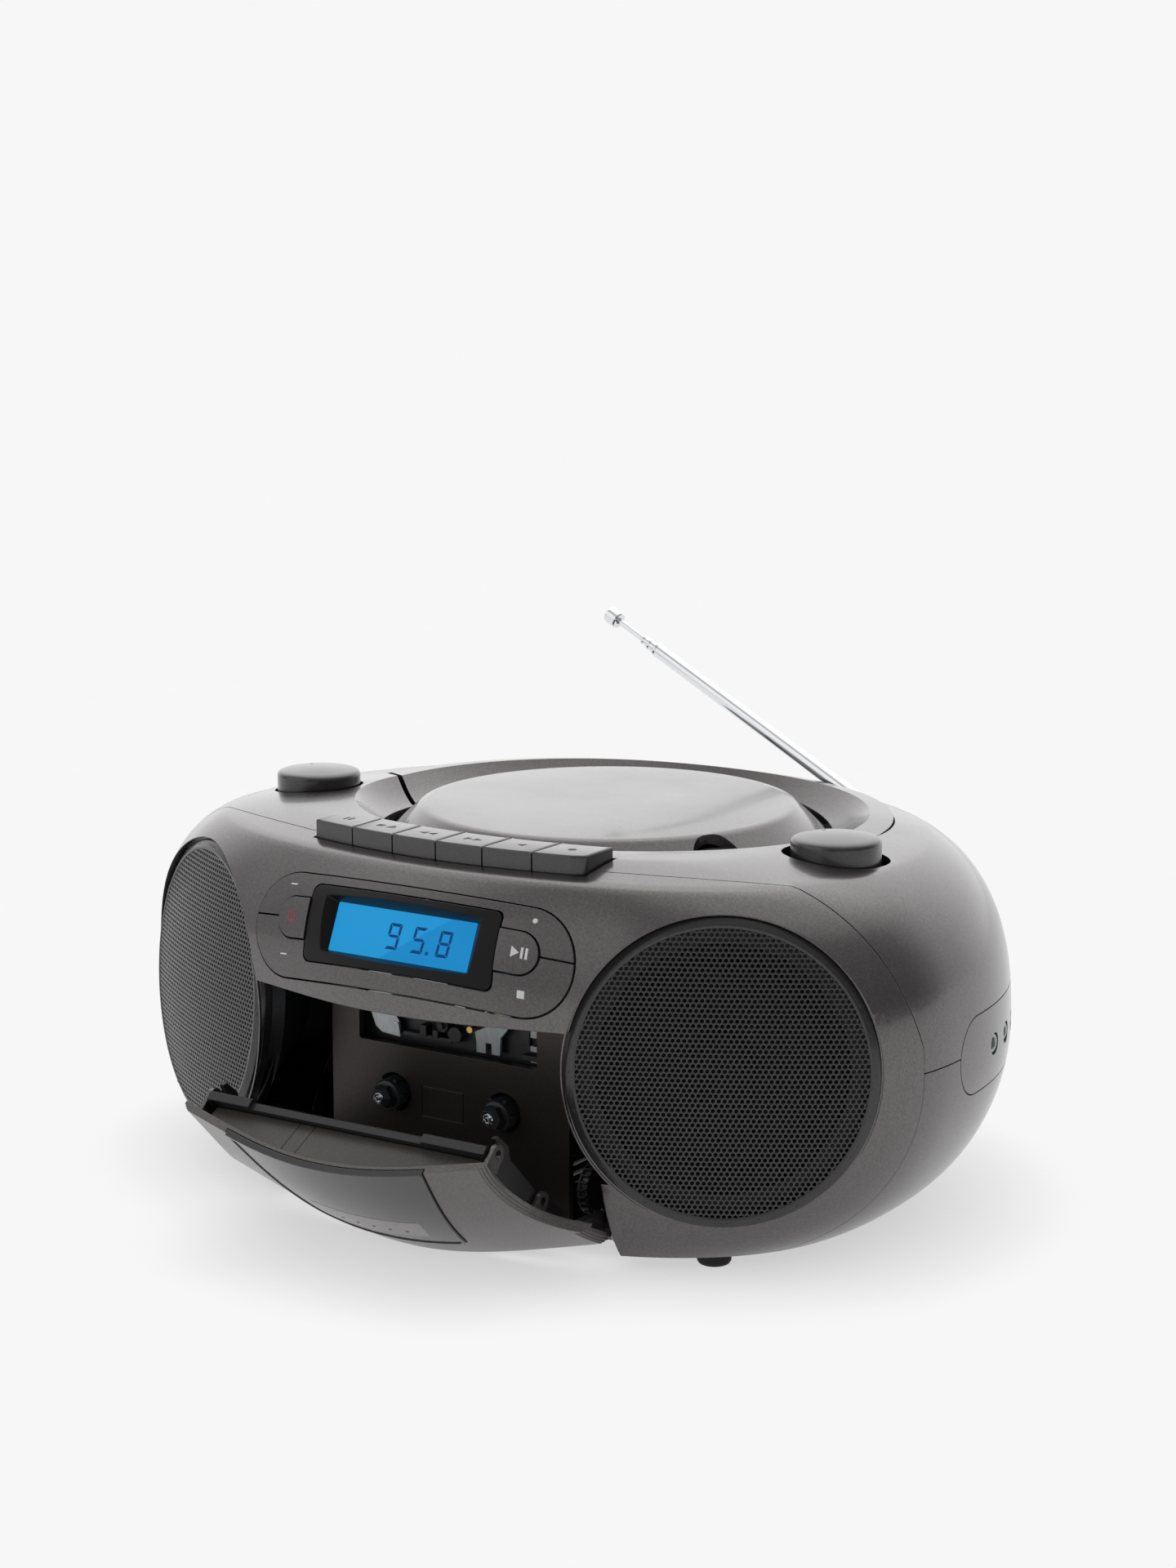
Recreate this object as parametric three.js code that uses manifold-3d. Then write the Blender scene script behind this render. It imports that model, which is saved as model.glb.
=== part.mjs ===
// Portable CD, radio and cassette player. Millimetres, +X right, +Y back, +Z up.
// The cassette door is modelled open and the telescopic antenna is raised.
// The dimensions below are measured from the middle of the cabinet. The whole player is
// then moved back, so that the origin is mid-width and mid-depth of everything, open door
// included, on the plane that the feet stand on.
import * as THREE from "three";
import Module from "manifold-3d";
import { mergeVertices } from "three/addons/utils/BufferGeometryUtils.js";

const wasm = await Module();
wasm.setup();

// ---- Driving dimensions -------------------------------------------------

const GAP = 0.4; // clearance between neighbouring mouldings
const WALL = 2.5; // cabinet wall
const FAR = 400; // longer than the whole object
const ORIGIN_SHIFT = 21.3; // how far back the finished player is moved

const BODY_HALF_WIDTH = 149;
const BODY_FRONT = 90; // depth in front of the widest line
const BODY_REAR = 130; // depth behind it
const WIDEST_Y = -20;
const UNDERSIDE_Z = 5;
const TOP_Z = 124;
const MID_Z = 62;
const PARTING_Z = 64; // line between the top and bottom cabinets

const SPEAKER = { x: 99.4, y: -81, z: 66.3, radius: 47.8, yaw: 30, tilt: 3.8 };
const DOOR_HINGE = { y: -89, z: 14 };
const DOOR_OPEN = 45; // degrees away from closed
const DOOR_TOP_Z = 76.5;
const DOOR_WING_Z = 31; // the door is widest below this height
const DOOR_WING_X = 67.5;
const REEL_X = 21.25; // half the 42.5 mm spindle spacing of every compact cassette
const REEL_Z = 41.7;
const DECK_Y = -84; // front face of the deck plate
const CAPSTAN = { x: 15.5, z: 70 };
const MOTOR = { x: -38, z: 30 };
const BELT_Y = -68;

const DISC_Y = 9; // centre of the disc bay
const LID_PLATE_RADIUS = 63.8;
const LID_RADIUS = 73.5;
const LID_BAY_RADIUS = 75.8;
const LID_HINGE = { y: 74, z: 114 };
const HANDLE_INNER = 75.4;
const HANDLE_OUTER = { x: 98, y: 86 };
const HANDLE_PIVOT = { y: 19, z: 116.5 };
const KNOB = { x: 102, y: -17.3, radius: 14.3 };
const KEY_PITCH = 17.2;
const KEY_ARC = 223; // plan radius of the key row
const KEY_FRONT_Y = -89.8;
const KEY_PIVOT = { y: -71, z: 117.5 };
const ANTENNA = { x: 76, y: 89, z: 102.7, lift: 25.9, yaw: 7 };
const PANEL = { y: -108.5, z: 100.9, lean: 23.7 }; // centre of the control panel

const deg = THREE.MathUtils.degToRad;

// ---- Materials ----------------------------------------------------------

const finish = (color, roughness, metalness = 0) =>
  new THREE.MeshStandardMaterial({ color, roughness, metalness });
const GUNMETAL = finish(0x4a4747, 0.38, 0.6);
const CHARCOAL = finish(0x2b2a2c, 0.45);
const BLACK = finish(0x121214, 0.5);
const GLOSS_BLACK = finish(0x0c0c0e, 0.15);
const MESH_BLACK = finish(0x18181a, 0.5, 0.7);
const PAPER = finish(0x1d1c1c, 0.9);
const DISPLAY_BLUE = finish(0x1496dc, 0.3);
const STEEL = finish(0x9aa3a6, 0.35, 0.9);
const CHROME = finish(0xd8dadd, 0.08, 1);
const DECK_BROWN = finish(0x332f2d, 0.4, 0.4);
const RUBBER = finish(0x151515, 0.9);
const BOARD_GREEN = finish(0x1f4a2c, 0.6);
const BRASS = finish(0xb08d4a, 0.3, 0.9);

// ---- Solids -------------------------------------------------------------

// A closed geometry as a manifold-3d solid.
function solid(geometry) {
  const bare = geometry.clone();
  for (const name of Object.keys(bare.attributes)) {
    if (name !== "position") bare.deleteAttribute(name);
  }
  const merged = mergeVertices(bare, 1e-4);
  return new wasm.Manifold(
    new wasm.Mesh({
      numProp: 3,
      vertProperties: merged.attributes.position.array,
      triVerts: new Uint32Array(merged.index.array),
    }),
  );
}

const join = (first, ...rest) => rest.reduce((a, b) => a.add(b), first);
const cut = (first, ...rest) => rest.reduce((a, b) => a.subtract(b), first);
const clip = (first, ...rest) => rest.reduce((a, b) => a.intersect(b), first);

// A box between two corners.
function box(low, high) {
  const size = high.map((v, i) => v - low[i]);
  const middle = high.map((v, i) => (v + low[i]) / 2);
  return solid(new THREE.BoxGeometry(...size).translate(...middle));
}

const FACETS = 24;
const alongX = (g) => g.rotateZ(-Math.PI / 2);
const alongY = (g) => g;
const alongZ = (g) => g.rotateX(Math.PI / 2);

// A cylinder with its axis along one direction, centred on a point.
function rod(turn, radius, length, centre, facets = FACETS) {
  const g = new THREE.CylinderGeometry(radius, radius, length, facets);
  return solid(turn(g).translate(...centre));
}

// A solid of revolution. The profile lists [radius, height] along the axis, either way round.
function turned(turn, profile, centre, facets = FACETS) {
  const points = profile.map(([r, h]) => new THREE.Vector2(r, h));
  if (THREE.ShapeUtils.isClockWise(points)) points.reverse();
  const g = new THREE.LatheGeometry(points, facets);
  return solid(turn(g).translate(...centre));
}

// A plan outline raised from one height to another.
function raised(shape, low, high) {
  const g = new THREE.ExtrudeGeometry(shape, {
    depth: high - low,
    bevelEnabled: false,
  });
  return solid(g.translate(0, 0, low));
}

// A polygon of [y, z] points carried along X.
function acrossX(points, low, high) {
  const shape = new THREE.Shape(points.map(([y, z]) => new THREE.Vector2(y, z)));
  const g = new THREE.ExtrudeGeometry(shape, {
    depth: high - low,
    bevelEnabled: false,
  });
  g.applyMatrix4(new THREE.Matrix4().set(0, 0, 1, low, 1, 0, 0, 0, 0, 1, 0, 0, 0, 0, 0, 1));
  return solid(g);
}

// A polygon of [x, z] points carried along Y.
function acrossY(points, low, high) {
  const shape = new THREE.Shape(points.map(([x, z]) => new THREE.Vector2(x, z)));
  const g = new THREE.ExtrudeGeometry(shape, {
    depth: high - low,
    bevelEnabled: false,
  });
  return solid(g.rotateX(Math.PI / 2).translate(0, high, 0));
}

// Rings of equal length, bottom first, closed by a fan at each end.
function loft(rings) {
  const count = rings[0].length;
  const middle = (ring) =>
    ring.reduce((a, p) => a.add(p), new THREE.Vector3()).divideScalar(count);
  const points = [...rings.flat(), middle(rings[0]), middle(rings.at(-1))];
  const lowFan = rings.length * count;
  const faces = [];
  rings.slice(1).forEach((_, i) => {
    for (let j = 0; j < count; j += 1) {
      const a = i * count + j;
      const b = i * count + ((j + 1) % count);
      faces.push(a, b, b + count, a, b + count, a + count);
    }
  });
  for (let j = 0; j < count; j += 1) {
    const next = (j + 1) % count;
    const top = lowFan - count;
    faces.push(lowFan, next, j);
    faces.push(lowFan + 1, top + j, top + next);
  }
  const g = new THREE.BufferGeometry().setFromPoints(points);
  g.setIndex(faces);
  return solid(g);
}

// ---- Outer form of the cabinet ------------------------------------------

// How far a superelliptic edge has drawn in at parameter t, from 0 to 1.
const drawIn = (t, power) => 1 - (1 - Math.min(Math.abs(t), 1) ** power) ** (1 / power);

const TOP_CROWN_Z = 120.5;
const crown = (z) => Math.max(0, z - TOP_CROWN_Z);

function halfWidth(z) {
  const t = (z - MID_Z) / MID_Z;
  const inset = t > 0 ? 50 * drawIn(t, 2.4) : 55 * drawIn(t, 2);
  return BODY_HALF_WIDTH - inset - 5 * crown(z);
}

function frontDepth(z) {
  const above = Math.max(0, z - 66) / 60;
  const below = Math.max(0, 66 - z) / 66;
  return BODY_FRONT - 19 * above ** 3.2 - 13 * below ** 2.2 - 5 * crown(z);
}

function rearDepth(z) {
  const t = (z - MID_Z) / MID_Z;
  const inset = t > 0 ? 28 * drawIn(t, 2.6) : 40 * drawIn(t, 2);
  return BODY_REAR - inset - 3 * crown(z);
}

// The middle of the front swells between the speakers.
function swell(x, z) {
  if (Math.abs(x) > 70) return 0;
  const fade = THREE.MathUtils.clamp((121 - z) / 11, 0, 1);
  return 7 * fade * Math.cos((Math.PI * x) / 140) ** 2;
}

// The top falls gently towards the rear.
function fall(y, z) {
  return 0.015 * Math.max(0, y + 60) * THREE.MathUtils.clamp((z - 80) / 40, 0, 1);
}

const RING_POINTS = 44;
const RING_HEIGHTS = [5, 8, 15, 28, 46, 64, 82, 97, 109, 117, 121, 124];

// The plan outline at one height, drawn in by a margin.
function outline(z, margin) {
  const level = THREE.MathUtils.clamp(z, UNDERSIDE_Z, TOP_Z);
  return Array.from({ length: RING_POINTS }, (_, i) => {
    const turn = (2 * Math.PI * (i + 0.5)) / RING_POINTS;
    const c = Math.cos(turn);
    const s = Math.sin(turn);
    const power = s < 0 ? 2.4 : 2.2;
    const depth = (s < 0 ? frontDepth(level) : rearDepth(level)) - margin;
    const x = Math.sign(c) * (halfWidth(level) - margin) * Math.abs(c) ** (2 / power);
    const y = WIDEST_Y + Math.sign(s) * depth * Math.abs(s) ** (2 / power);
    return new THREE.Vector3(x, s < 0 ? y - swell(x, level) : y, z);
  });
}

// The cabinet's form drawn in by a margin on every side.
function form(margin) {
  const rings = RING_HEIGHTS.map((z) => {
    const low = UNDERSIDE_Z + margin;
    const high = TOP_Z - margin;
    const share = (z - UNDERSIDE_Z) / (TOP_Z - UNDERSIDE_Z);
    const ring = outline(z, margin);
    ring.forEach((p) => p.setZ(low + share * (high - low) - fall(p.y, z)));
    return ring;
  });
  return loft(rings);
}

const outer = form(0);
const inner = form(WALL);
const shell = cut(outer, inner);

// ---- Speakers -----------------------------------------------------------

const sides = [
  { name: "left", sign: -1 },
  { name: "right", sign: 1 },
];

// Takes a piece built about +Z to the speaker opening, +Z pointing out of it.
function toSpeaker(piece, sign) {
  const turnedPiece = piece.rotate([90 - SPEAKER.tilt, 0, sign * SPEAKER.yaw]);
  return turnedPiece.translate([sign * SPEAKER.x, SPEAKER.y, SPEAKER.z]);
}

const DOME = 4; // rise of the grille
const GRILLE_SKIN = 1.2;
const grilleProfile = (lift) =>
  [0, 0.35, 0.7, 1].map((t) => [SPEAKER.radius * t, DOME * (1 - t * t) + lift]);

function speakerGrille(sign) {
  const front = grilleProfile(GRILLE_SKIN);
  const back = grilleProfile(0).reverse();
  return toSpeaker(turned(alongZ, [...front, ...back], [0, 0, 0], 36), sign);
}

function speakerCone(sign) {
  const profile = [
    [0, -13], [9, -16.5], [31, -6], [38, -7], [38, -8.5], [31, -7.5], [9, -20], [0, -20],
  ];
  return toSpeaker(turned(alongZ, profile, [0, 0, 0]), sign);
}

function speakerFrame(sign) {
  const profile = [
    [38.6, -4.5], [45, -4.5], [45, -9], [22, -26], [22, -42], [0, -42], [0, -24], [12, -24],
    [38.6, -9.5], [38.6, -4.5],
  ];
  return toSpeaker(turned(alongZ, profile, [0, 0, 0]), sign);
}

// ---- Door outline -------------------------------------------------------

// Half-width of the door opening: concave around the speakers, straight at its foot.
function doorHalfWidth(z, gap) {
  if (z < DOOR_WING_Z) return DOOR_WING_X - gap;
  const reach = SPEAKER.radius + 1.2;
  const rise = (z - SPEAKER.z) / reach;
  const across = reach * Math.cos(deg(SPEAKER.yaw)) * Math.sqrt(1 - rise * rise);
  return SPEAKER.x - across - gap;
}

function doorPrism(gap, top, low, high) {
  const heights = [UNDERSIDE_Z - 1, 20, 31, 35, 41, 48, 56, 66, top];
  const right = heights.map((z) => [doorHalfWidth(z, gap), z]);
  const left = right.map(([x, z]) => [-x, z]).reverse();
  return acrossY([...right, ...left], low, high);
}

// ---- Casings ------------------------------------------------------------

// A box on the right-hand side, or its mirror image on the left.
function mirroredBox(sign, [x0, y0, z0], [x1, y1, z1]) {
  const [low, high] = sign > 0 ? [x0, x1] : [-x1, -x0];
  return box([low, y0, z0], [high, y1, z1]);
}

const mirrored = (points) => [...points, ...points.map(([x, y]) => [-x, y]).reverse()];
const shapeOf = (points) => new THREE.Shape(points.map(([x, y]) => new THREE.Vector2(x, y)));

// Everything in front of the seam between the fascia and the cabinets.
function seamFront(gap) {
  const right = [[0, -84.5], [58, -78.2], [116, -54.3], [FAR, 62.2], [FAR, -FAR]];
  const plan = right.map(([x, y]) => [x, y === -FAR ? y : y + gap]);
  const region = raised(shapeOf(mirrored(plan)), -FAR, FAR);
  const lean = 0.33;
  const edge = (z) => -18 - lean * z + gap;
  const side = [[-FAR, -20], [edge(-20), -20], [edge(160), 160], [-FAR, 160]];
  return clip(region, acrossX(side, -FAR, FAR));
}

// The plan of the folded handle: a crescent around the rear of the disc bay.
function handlePlan(gap, endGap) {
  const end = (x) => 3 - endGap + ((x - 74) * 2) / 3;
  const rx = HANDLE_OUTER.x + gap;
  const ry = HANDLE_OUTER.y + gap;
  const points = [[0, DISC_Y + ry]];
  for (let turn = 80; turn > 8; turn -= 10) {
    points.push([rx * Math.cos(deg(turn)), DISC_Y + ry * Math.sin(deg(turn))]);
  }
  points.push([rx - 0.4, end(rx - 0.4)], [70, end(70)]);
  return shapeOf(mirrored(points));
}

// A profile turned around the disc bay, a little shallower to the front and rear, and tipped back.
function aroundBay(profile) {
  const bowl = turned(alongZ, profile, [0, 0, 0], 48).scale([1, 0.88, 1]);
  return bowl.rotate([-2, 0, 0]).translate([0, DISC_Y, 124.5]);
}

// The hollow that sweeps around the disc bay and up onto the handle.
const cove = aroundBay([
  [0, -10], [75.8, -10], [79, -9], [83, -6.8], [87, -3.6], [91, 0], [96, 4.2], [100, 16], [0, 16],
]);

// The thicker wall that the hollow is sunk into, which keeps the cabinet closed beneath it.
const coveWall = clip(
  aroundBay([
    [0, -12.6], [76, -12.6], [79.5, -11.4], [84, -8.8], [88, -5.6], [93, -1], [97, 2.4], [97, 6], [0, 6],
  ]),
  outer,
);

const CHANNEL_FLOOR_Z = 104;

// The raised floor and wall that the folded handle lies in.
function handleTray() {
  const filled = clip(raised(handlePlan(2.6, 6.6), CHANNEL_FLOOR_Z - 2.5, TOP_Z), outer);
  const hollow = raised(handlePlan(0.6, 4.6), CHANNEL_FLOOR_Z, TOP_Z + 10);
  const pivotRoom = sides.map(({ sign }) => mirroredBox(sign, [73, -1.5, 95], [97.5, 31, 110]));
  return { filled, hollow, pivotRoom };
}

const bay = rod(alongZ, LID_BAY_RADIUS, 60, [0, DISC_Y, 120], 48);

// A row of points along the front of the keys, moved back by some depth.
function keyRowPlan(x0, x1, front, back) {
  const edge = (x, depth) => KEY_FRONT_Y + KEY_ARC - Math.sqrt((KEY_ARC - depth) ** 2 - x * x);
  const steps = [0, 0.5, 1].map((t) => x0 + t * (x1 - x0));
  const near = steps.map((x) => [x, edge(x, front)]);
  const rear = steps.map((x) => [x, edge(x, back)]).reverse();
  return [...near, ...rear];
}

const KEY_ROW_HALF = 3 * KEY_PITCH + 0.8;
const keySlot = join(
  ...[-1, -0.5, 0, 0.5].map((part) => {
    const x = part * KEY_ROW_HALF;
    return raised(shapeOf(keyRowPlan(x, x + KEY_ROW_HALF / 2 + 0.1, -1.4, 16.6)), 112, 130);
  }),
);

function knobRecess(sign) {
  return rod(alongZ, KNOB.radius + 1.2, 14, [sign * KNOB.x, KNOB.y, 123]);
}

function knobHole(sign) {
  return rod(alongZ, 3.4, 40, [sign * KNOB.x, KNOB.y, 115], 20);
}

// The right-hand socket plate: a rounded slot seen from the side.
function jackPrism(gap) {
  const r = 12.5 + gap;
  const points = [];
  for (let turn = 90; turn <= 270; turn += 22.5) {
    points.push([-8.5 + r * Math.cos(deg(turn)), 62.5 + r * Math.sin(deg(turn))]);
  }
  points.push([44 + gap, 62.5 - r], [44 + gap, 62.5 + r]);
  return acrossX(points, 110, 160);
}

// The pocket at the rear corner that the antenna stands in, and the groove it leans through.
const antennaWalls = clip(
  join(box([60, 80.5, 91.5], [94, 130, 124]), box([42, 82, 101.5], [64, 130, 124])),
  outer,
);
const antennaPocket = join(box([62, 82.5, 94], [92, 130, 140]), box([44, 84.6, 104], [63, 130, 140]));

// Takes a piece built about +Z to the control panel, +Z pointing out of it.
function toPanel(piece) {
  return piece.rotate([90 - PANEL.lean, 0, 0]).translate([0, PANEL.y, PANEL.z]);
}

// The rounded outline of the whole control panel.
function panelPlan(gap) {
  const r = 17 - gap;
  const right = [];
  for (let turn = -90; turn <= 90; turn += 15) {
    right.push([44 + r * Math.cos(deg(turn)), -1.3 + r * Math.sin(deg(turn))]);
  }
  return shapeOf(mirrored(right));
}

const panelPrism = (gap) => toPanel(raised(panelPlan(gap), -14, 20));
const BEZEL = { x: 35.7, y: 12 };
const WINDOW = { x: 26.4, y: 7.9 };
const bezelPrism = (gap) =>
  toPanel(box([-BEZEL.x - gap, -BEZEL.y - gap, -14], [BEZEL.x + gap, BEZEL.y + gap, 20]));

// A D-shaped button beside the display.
function sideButtonPrism(sign, gap) {
  const r = 6.4 + gap;
  const points = [[36.6 - gap, -r], [36.6 - gap, r]];
  for (let turn = 90; turn >= -90; turn -= 30) {
    points.push([43 + r * Math.cos(deg(turn)), r * Math.sin(deg(turn))]);
  }
  const plan = shapeOf(points.map(([x, y]) => [sign * x, y + 0.8]));
  return toPanel(raised(plan, -14, 20));
}

function speakerHole(sign) {
  return toSpeaker(rod(alongZ, SPEAKER.radius + 0.6, 60, [0, 0, 6], 36), sign);
}

function speakerLip(sign) {
  const lip = cut(
    rod(alongZ, 51, 3.2, [0, 0, -2.2], 36),
    rod(alongZ, 45.6, 10, [0, 0, -2.2], 36),
  );
  return clip(toSpeaker(lip, sign), outer);
}

function frontFascia() {
  const band = clip(shell, seamFront(0));
  const cutouts = [
    ...sides.map(({ sign }) => speakerHole(sign)),
    keySlot,
    panelPrism(0),
  ];
  const lips = sides.map(({ sign }) => speakerLip(sign));
  const dressed = join(cut(band, ...cutouts), ...lips);
  return cut(dressed, doorPrism(-0.8, DOOR_TOP_Z + 1.5, -FAR, -60));
}

// Ribs under the deck that hold the ends of the key shaft.
function keyShaftRib(sign) {
  return clip(mirroredBox(sign, [54.5, -75, 113], [57.5, -67.5, 123]), outer);
}

const shaftBore = (radius) => rod(alongX, radius, 130, [0, KEY_PIVOT.y, KEY_PIVOT.z], 12);

const handlePinHoles = rod(alongX, 2.3, 206, [0, HANDLE_PIVOT.y, HANDLE_PIVOT.z], 16);

function knobCup(sign) {
  return clip(rod(alongZ, KNOB.radius + 3.2, 9, [sign * KNOB.x, KNOB.y, 118.5]), outer);
}

function topCabinet() {
  const half = clip(shell, box([-FAR, -FAR, PARTING_Z + GAP / 2], [FAR, FAR, FAR]));
  const tray = handleTray();
  const ribs = sides.map(({ sign }) => keyShaftRib(sign));
  const cups = sides.map(({ sign }) => knobCup(sign));
  const solidTop = join(cut(half, seamFront(GAP)), coveWall, tray.filled, antennaWalls, ...ribs, ...cups);
  const recesses = [
    bay,
    cove,
    tray.hollow,
    ...tray.pivotRoom,
    keySlot,
    shaftBore(1.4),
    handlePinHoles,
    antennaPocket,
    jackPrism(GAP),
    ...sides.map(({ sign }) => knobHole(sign)),
    ...sides.map(({ sign }) => knobRecess(sign)),
  ];
  return cut(solidTop, ...recesses);
}

const BATTERY_BAY = { x: 58, front: 18, back: 78 };

// Boss and pin that carry one side of the cassette door.
function doorBoss(sign) {
  const low = sign > 0 ? 64.4 : -67;
  const side = [[-70, 5.6], [-70, 18], [-88, 18], [-90.7, 15.6], [-90.7, 12], [-84, 5.6]];
  const arm = acrossX(side, low, low + 2.6);
  const pin = rod(alongX, 1.8, 6.4, [sign * 62.2, DOOR_HINGE.y, DOOR_HINGE.z], 16);
  return join(arm, pin);
}

function bottomCabinet() {
  const half = clip(shell, box([-FAR, -FAR, -FAR], [FAR, FAR, PARTING_Z - GAP / 2]));
  const { x, front, back } = BATTERY_BAY;
  const cover = box([-x - GAP, front - GAP, 0], [x + GAP, back + GAP, 20]);
  const inletHole = box([-52, 70, 24], [-28, FAR, 42]);
  const bosses = sides.map(({ sign }) => doorBoss(sign));
  return cut(join(cut(half, seamFront(GAP)), ...bosses), cover, inletHole, jackPrism(GAP));
}

function batteryDoor() {
  const { x, front, back } = BATTERY_BAY;
  const grip = box([-14, front + 6, 4.2], [14, front + 10, 6]);
  return cut(box([-x, front, UNDERSIDE_Z + 0.2], [x, back, UNDERSIDE_Z + 2.4]), grip);
}

function jackPanel() {
  const plate = clip(shell, jackPrism(0));
  const sockets = [6, 20.5, 35].map((y) => rod(alongX, 3.6, 60, [140, y, 62.5], 20));
  return cut(plate, ...sockets);
}

// ---- Control panel ------------------------------------------------------

const panelLayer = cut(form(-0.3), form(2));

function displayBezel() {
  const frame = clip(panelLayer, bezelPrism(0));
  return cut(frame, toPanel(box([-WINDOW.x, -WINDOW.y, -14], [WINDOW.x, WINDOW.y, 20])));
}

function displayPanel() {
  return toPanel(box([-WINDOW.x - 2.5, -WINDOW.y - 2, -6], [WINDOW.x + 2.5, WINDOW.y + 2, -3.2]));
}

// The upper or lower half of the panel: one moulding that rocks left and right.
function rocker(sign) {
  const [low, high] = sign > 0 ? [1.1, 30] : [-30, 0.5];
  const half = toPanel(box([-70, low, -14], [70, high, 20]));
  const buttons = sides.map((side) => sideButtonPrism(side.sign, 0.5));
  return cut(clip(panelLayer, panelPrism(0.5), half), bezelPrism(0.5), ...buttons);
}

const sideButton = (sign) => clip(panelLayer, sideButtonPrism(sign, 0));

// ---- Piano keys ---------------------------------------------------------

const KEY_NAMES = ["pause", "stop", "rewind", "forward", "play", "record"];
const KEY_BOTTOM_Z = 119.8;
const KEY_CREST_Z = 127.6;

function pianoKey(index) {
  const left = (index - 3) * KEY_PITCH + 0.25;
  const right = left + KEY_PITCH - 0.5;
  const middle = (left + right) / 2;
  const head = raised(shapeOf(keyRowPlan(left, right, 0, 15.8)), KEY_BOTTOM_Z, KEY_CREST_Z);
  const arm = box([middle - 5, -76.4, 117.2], [middle + 5, KEY_PIVOT.y, KEY_BOTTOM_Z + 0.6]);
  const eye = rod(alongX, 2.6, 10, [middle, KEY_PIVOT.y, KEY_PIVOT.z], 16);
  return cut(join(head, arm, eye), shaftBore(1.5));
}

// ---- Knobs, lid and handle ----------------------------------------------

function knob(sign) {
  const r = KNOB.radius;
  const profile = [
    [0, 106], [3, 106], [3, 116.6], [r, 116.6], [r, 126.4], [r - 0.8, 127.4], [9, 128.3], [0, 128.7],
  ];
  return turned(alongZ, profile, [sign * KNOB.x, KNOB.y, 0], 32);
}

function discLid() {
  const r = LID_PLATE_RADIUS;
  const profile = [
    [0, 121], [6, 121], [6, 118.5], [8, 118.5], [8, 121], [r - 2, 121], [LID_RADIUS - 3, 111.6],
    [LID_RADIUS, 111.6], [LID_RADIUS, 114], [r, 123.4], [r - 1, 123.7], [0, 123.7],
  ];
  const plate = turned(alongZ, profile, [0, DISC_Y, 0], 44);
  const turn = deg(-26.5);
  const notch = [72 * Math.cos(turn), DISC_Y + 72 * Math.sin(turn), 117];
  const knuckles = sides.map(({ sign }) =>
    rod(alongX, 2.6, 4, [sign * 7.6, LID_HINGE.y, LID_HINGE.z], 16),
  );
  const bore = rod(alongX, 1.3, 24, [0, LID_HINGE.y, LID_HINGE.z], 16);
  return cut(join(plate, ...knuckles), rod(alongZ, 9.5, 16, notch), bore);
}

function discClamp() {
  const profile = [[0, 111], [15, 111], [15, 113], [5.4, 113], [5.4, 120.4], [0, 120.4]];
  return turned(alongZ, profile, [0, DISC_Y, 0]);
}

function discTray() {
  const profile = [
    [0, 99], [64, 99], [64, 107.3], [75.2, 107.3], [75.2, 109.3], [62, 109.3], [62, 101], [0, 101],
  ];
  const tray = turned(alongZ, profile, [0, DISC_Y, 0], 44);
  const slot = box([-9, -46, 95], [9, -9, 105]);
  const hingeRoom = box([-40, 66, 103], [40, 90, 115]);
  const opened = cut(tray, slot, rod(alongZ, 15.5, 20, [0, DISC_Y, 100]), hingeRoom);
  const bracket = box([-5, 66, 99], [5, LID_HINGE.y + 1.5, LID_HINGE.z]);
  const knuckle = rod(alongX, 2, 10, [0, LID_HINGE.y, LID_HINGE.z], 16);
  const pin = rod(alongX, 1.1, 19, [0, LID_HINGE.y, LID_HINGE.z], 16);
  return join(opened, bracket, knuckle, pin);
}

function discHub() {
  const profile = [[0, 97.5], [3, 97.5], [3, 101.5], [14.5, 101.5], [14.5, 103.5], [7.3, 103.5],
    [7.3, 106.5], [5.5, 108], [0, 108]];
  return turned(alongZ, profile, [0, DISC_Y, 0]);
}

const discMotor = () => rod(alongZ, 12, 14, [0, DISC_Y, 90]);

function opticalPickup() {
  const sled = box([-7.5, -40, 92], [7.5, -18, 100.5]);
  const lens = rod(alongZ, 3.5, 3, [0, -26, 101.2], 20);
  return join(sled, lens);
}

// The form that tops the handle: the cabinet's own, tipped up a little at the rear.
function handleForm() {
  const { y, z } = HANDLE_PIVOT;
  return outer.translate([0, -y, -z]).rotate([2, 0, 0]).translate([0, y, z]);
}

// The handle is narrower below its rim, which leaves room for it to swing up.
function carryHandle() {
  const rim = raised(handlePlan(0, 0), 114.6, TOP_Z + 5);
  const underside = raised(handlePlan(-3, -1), 107, 115);
  const crescent = clip(join(rim, underside), handleForm());
  const pins = sides.map(({ sign }) =>
    rod(alongX, 2, 14, [sign * (HANDLE_OUTER.x - 3), HANDLE_PIVOT.y, HANDLE_PIVOT.z], 16),
  );
  const bayWall = rod(alongZ, HANDLE_INNER, 60, [0, DISC_Y, 120], 48);
  return join(cut(crescent, cove, bayWall), ...pins);
}

// ---- Antenna, built along -X from its pivot -----------------------------

const alongAntenna = (g) => g.rotateZ(Math.PI / 2);

function antennaSwivel() {
  const post = rod(alongZ, 3.6, 5, [0, 0, -5.8], 20);
  const cheek = (side) => box([-3.4, side - 0.9, -5], [3.4, side + 0.9, 3]);
  const pin = rod(alongY, 1.2, 7, [0, 0, 0], 16);
  return join(post, cheek(-3), cheek(3), pin);
}

function antennaTube(radius, bore, start, end) {
  const profile = [[bore, start], [radius, start], [radius, end], [bore, end], [bore, start]];
  return turned(alongAntenna, profile, [0, 0, 0], 16);
}

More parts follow.
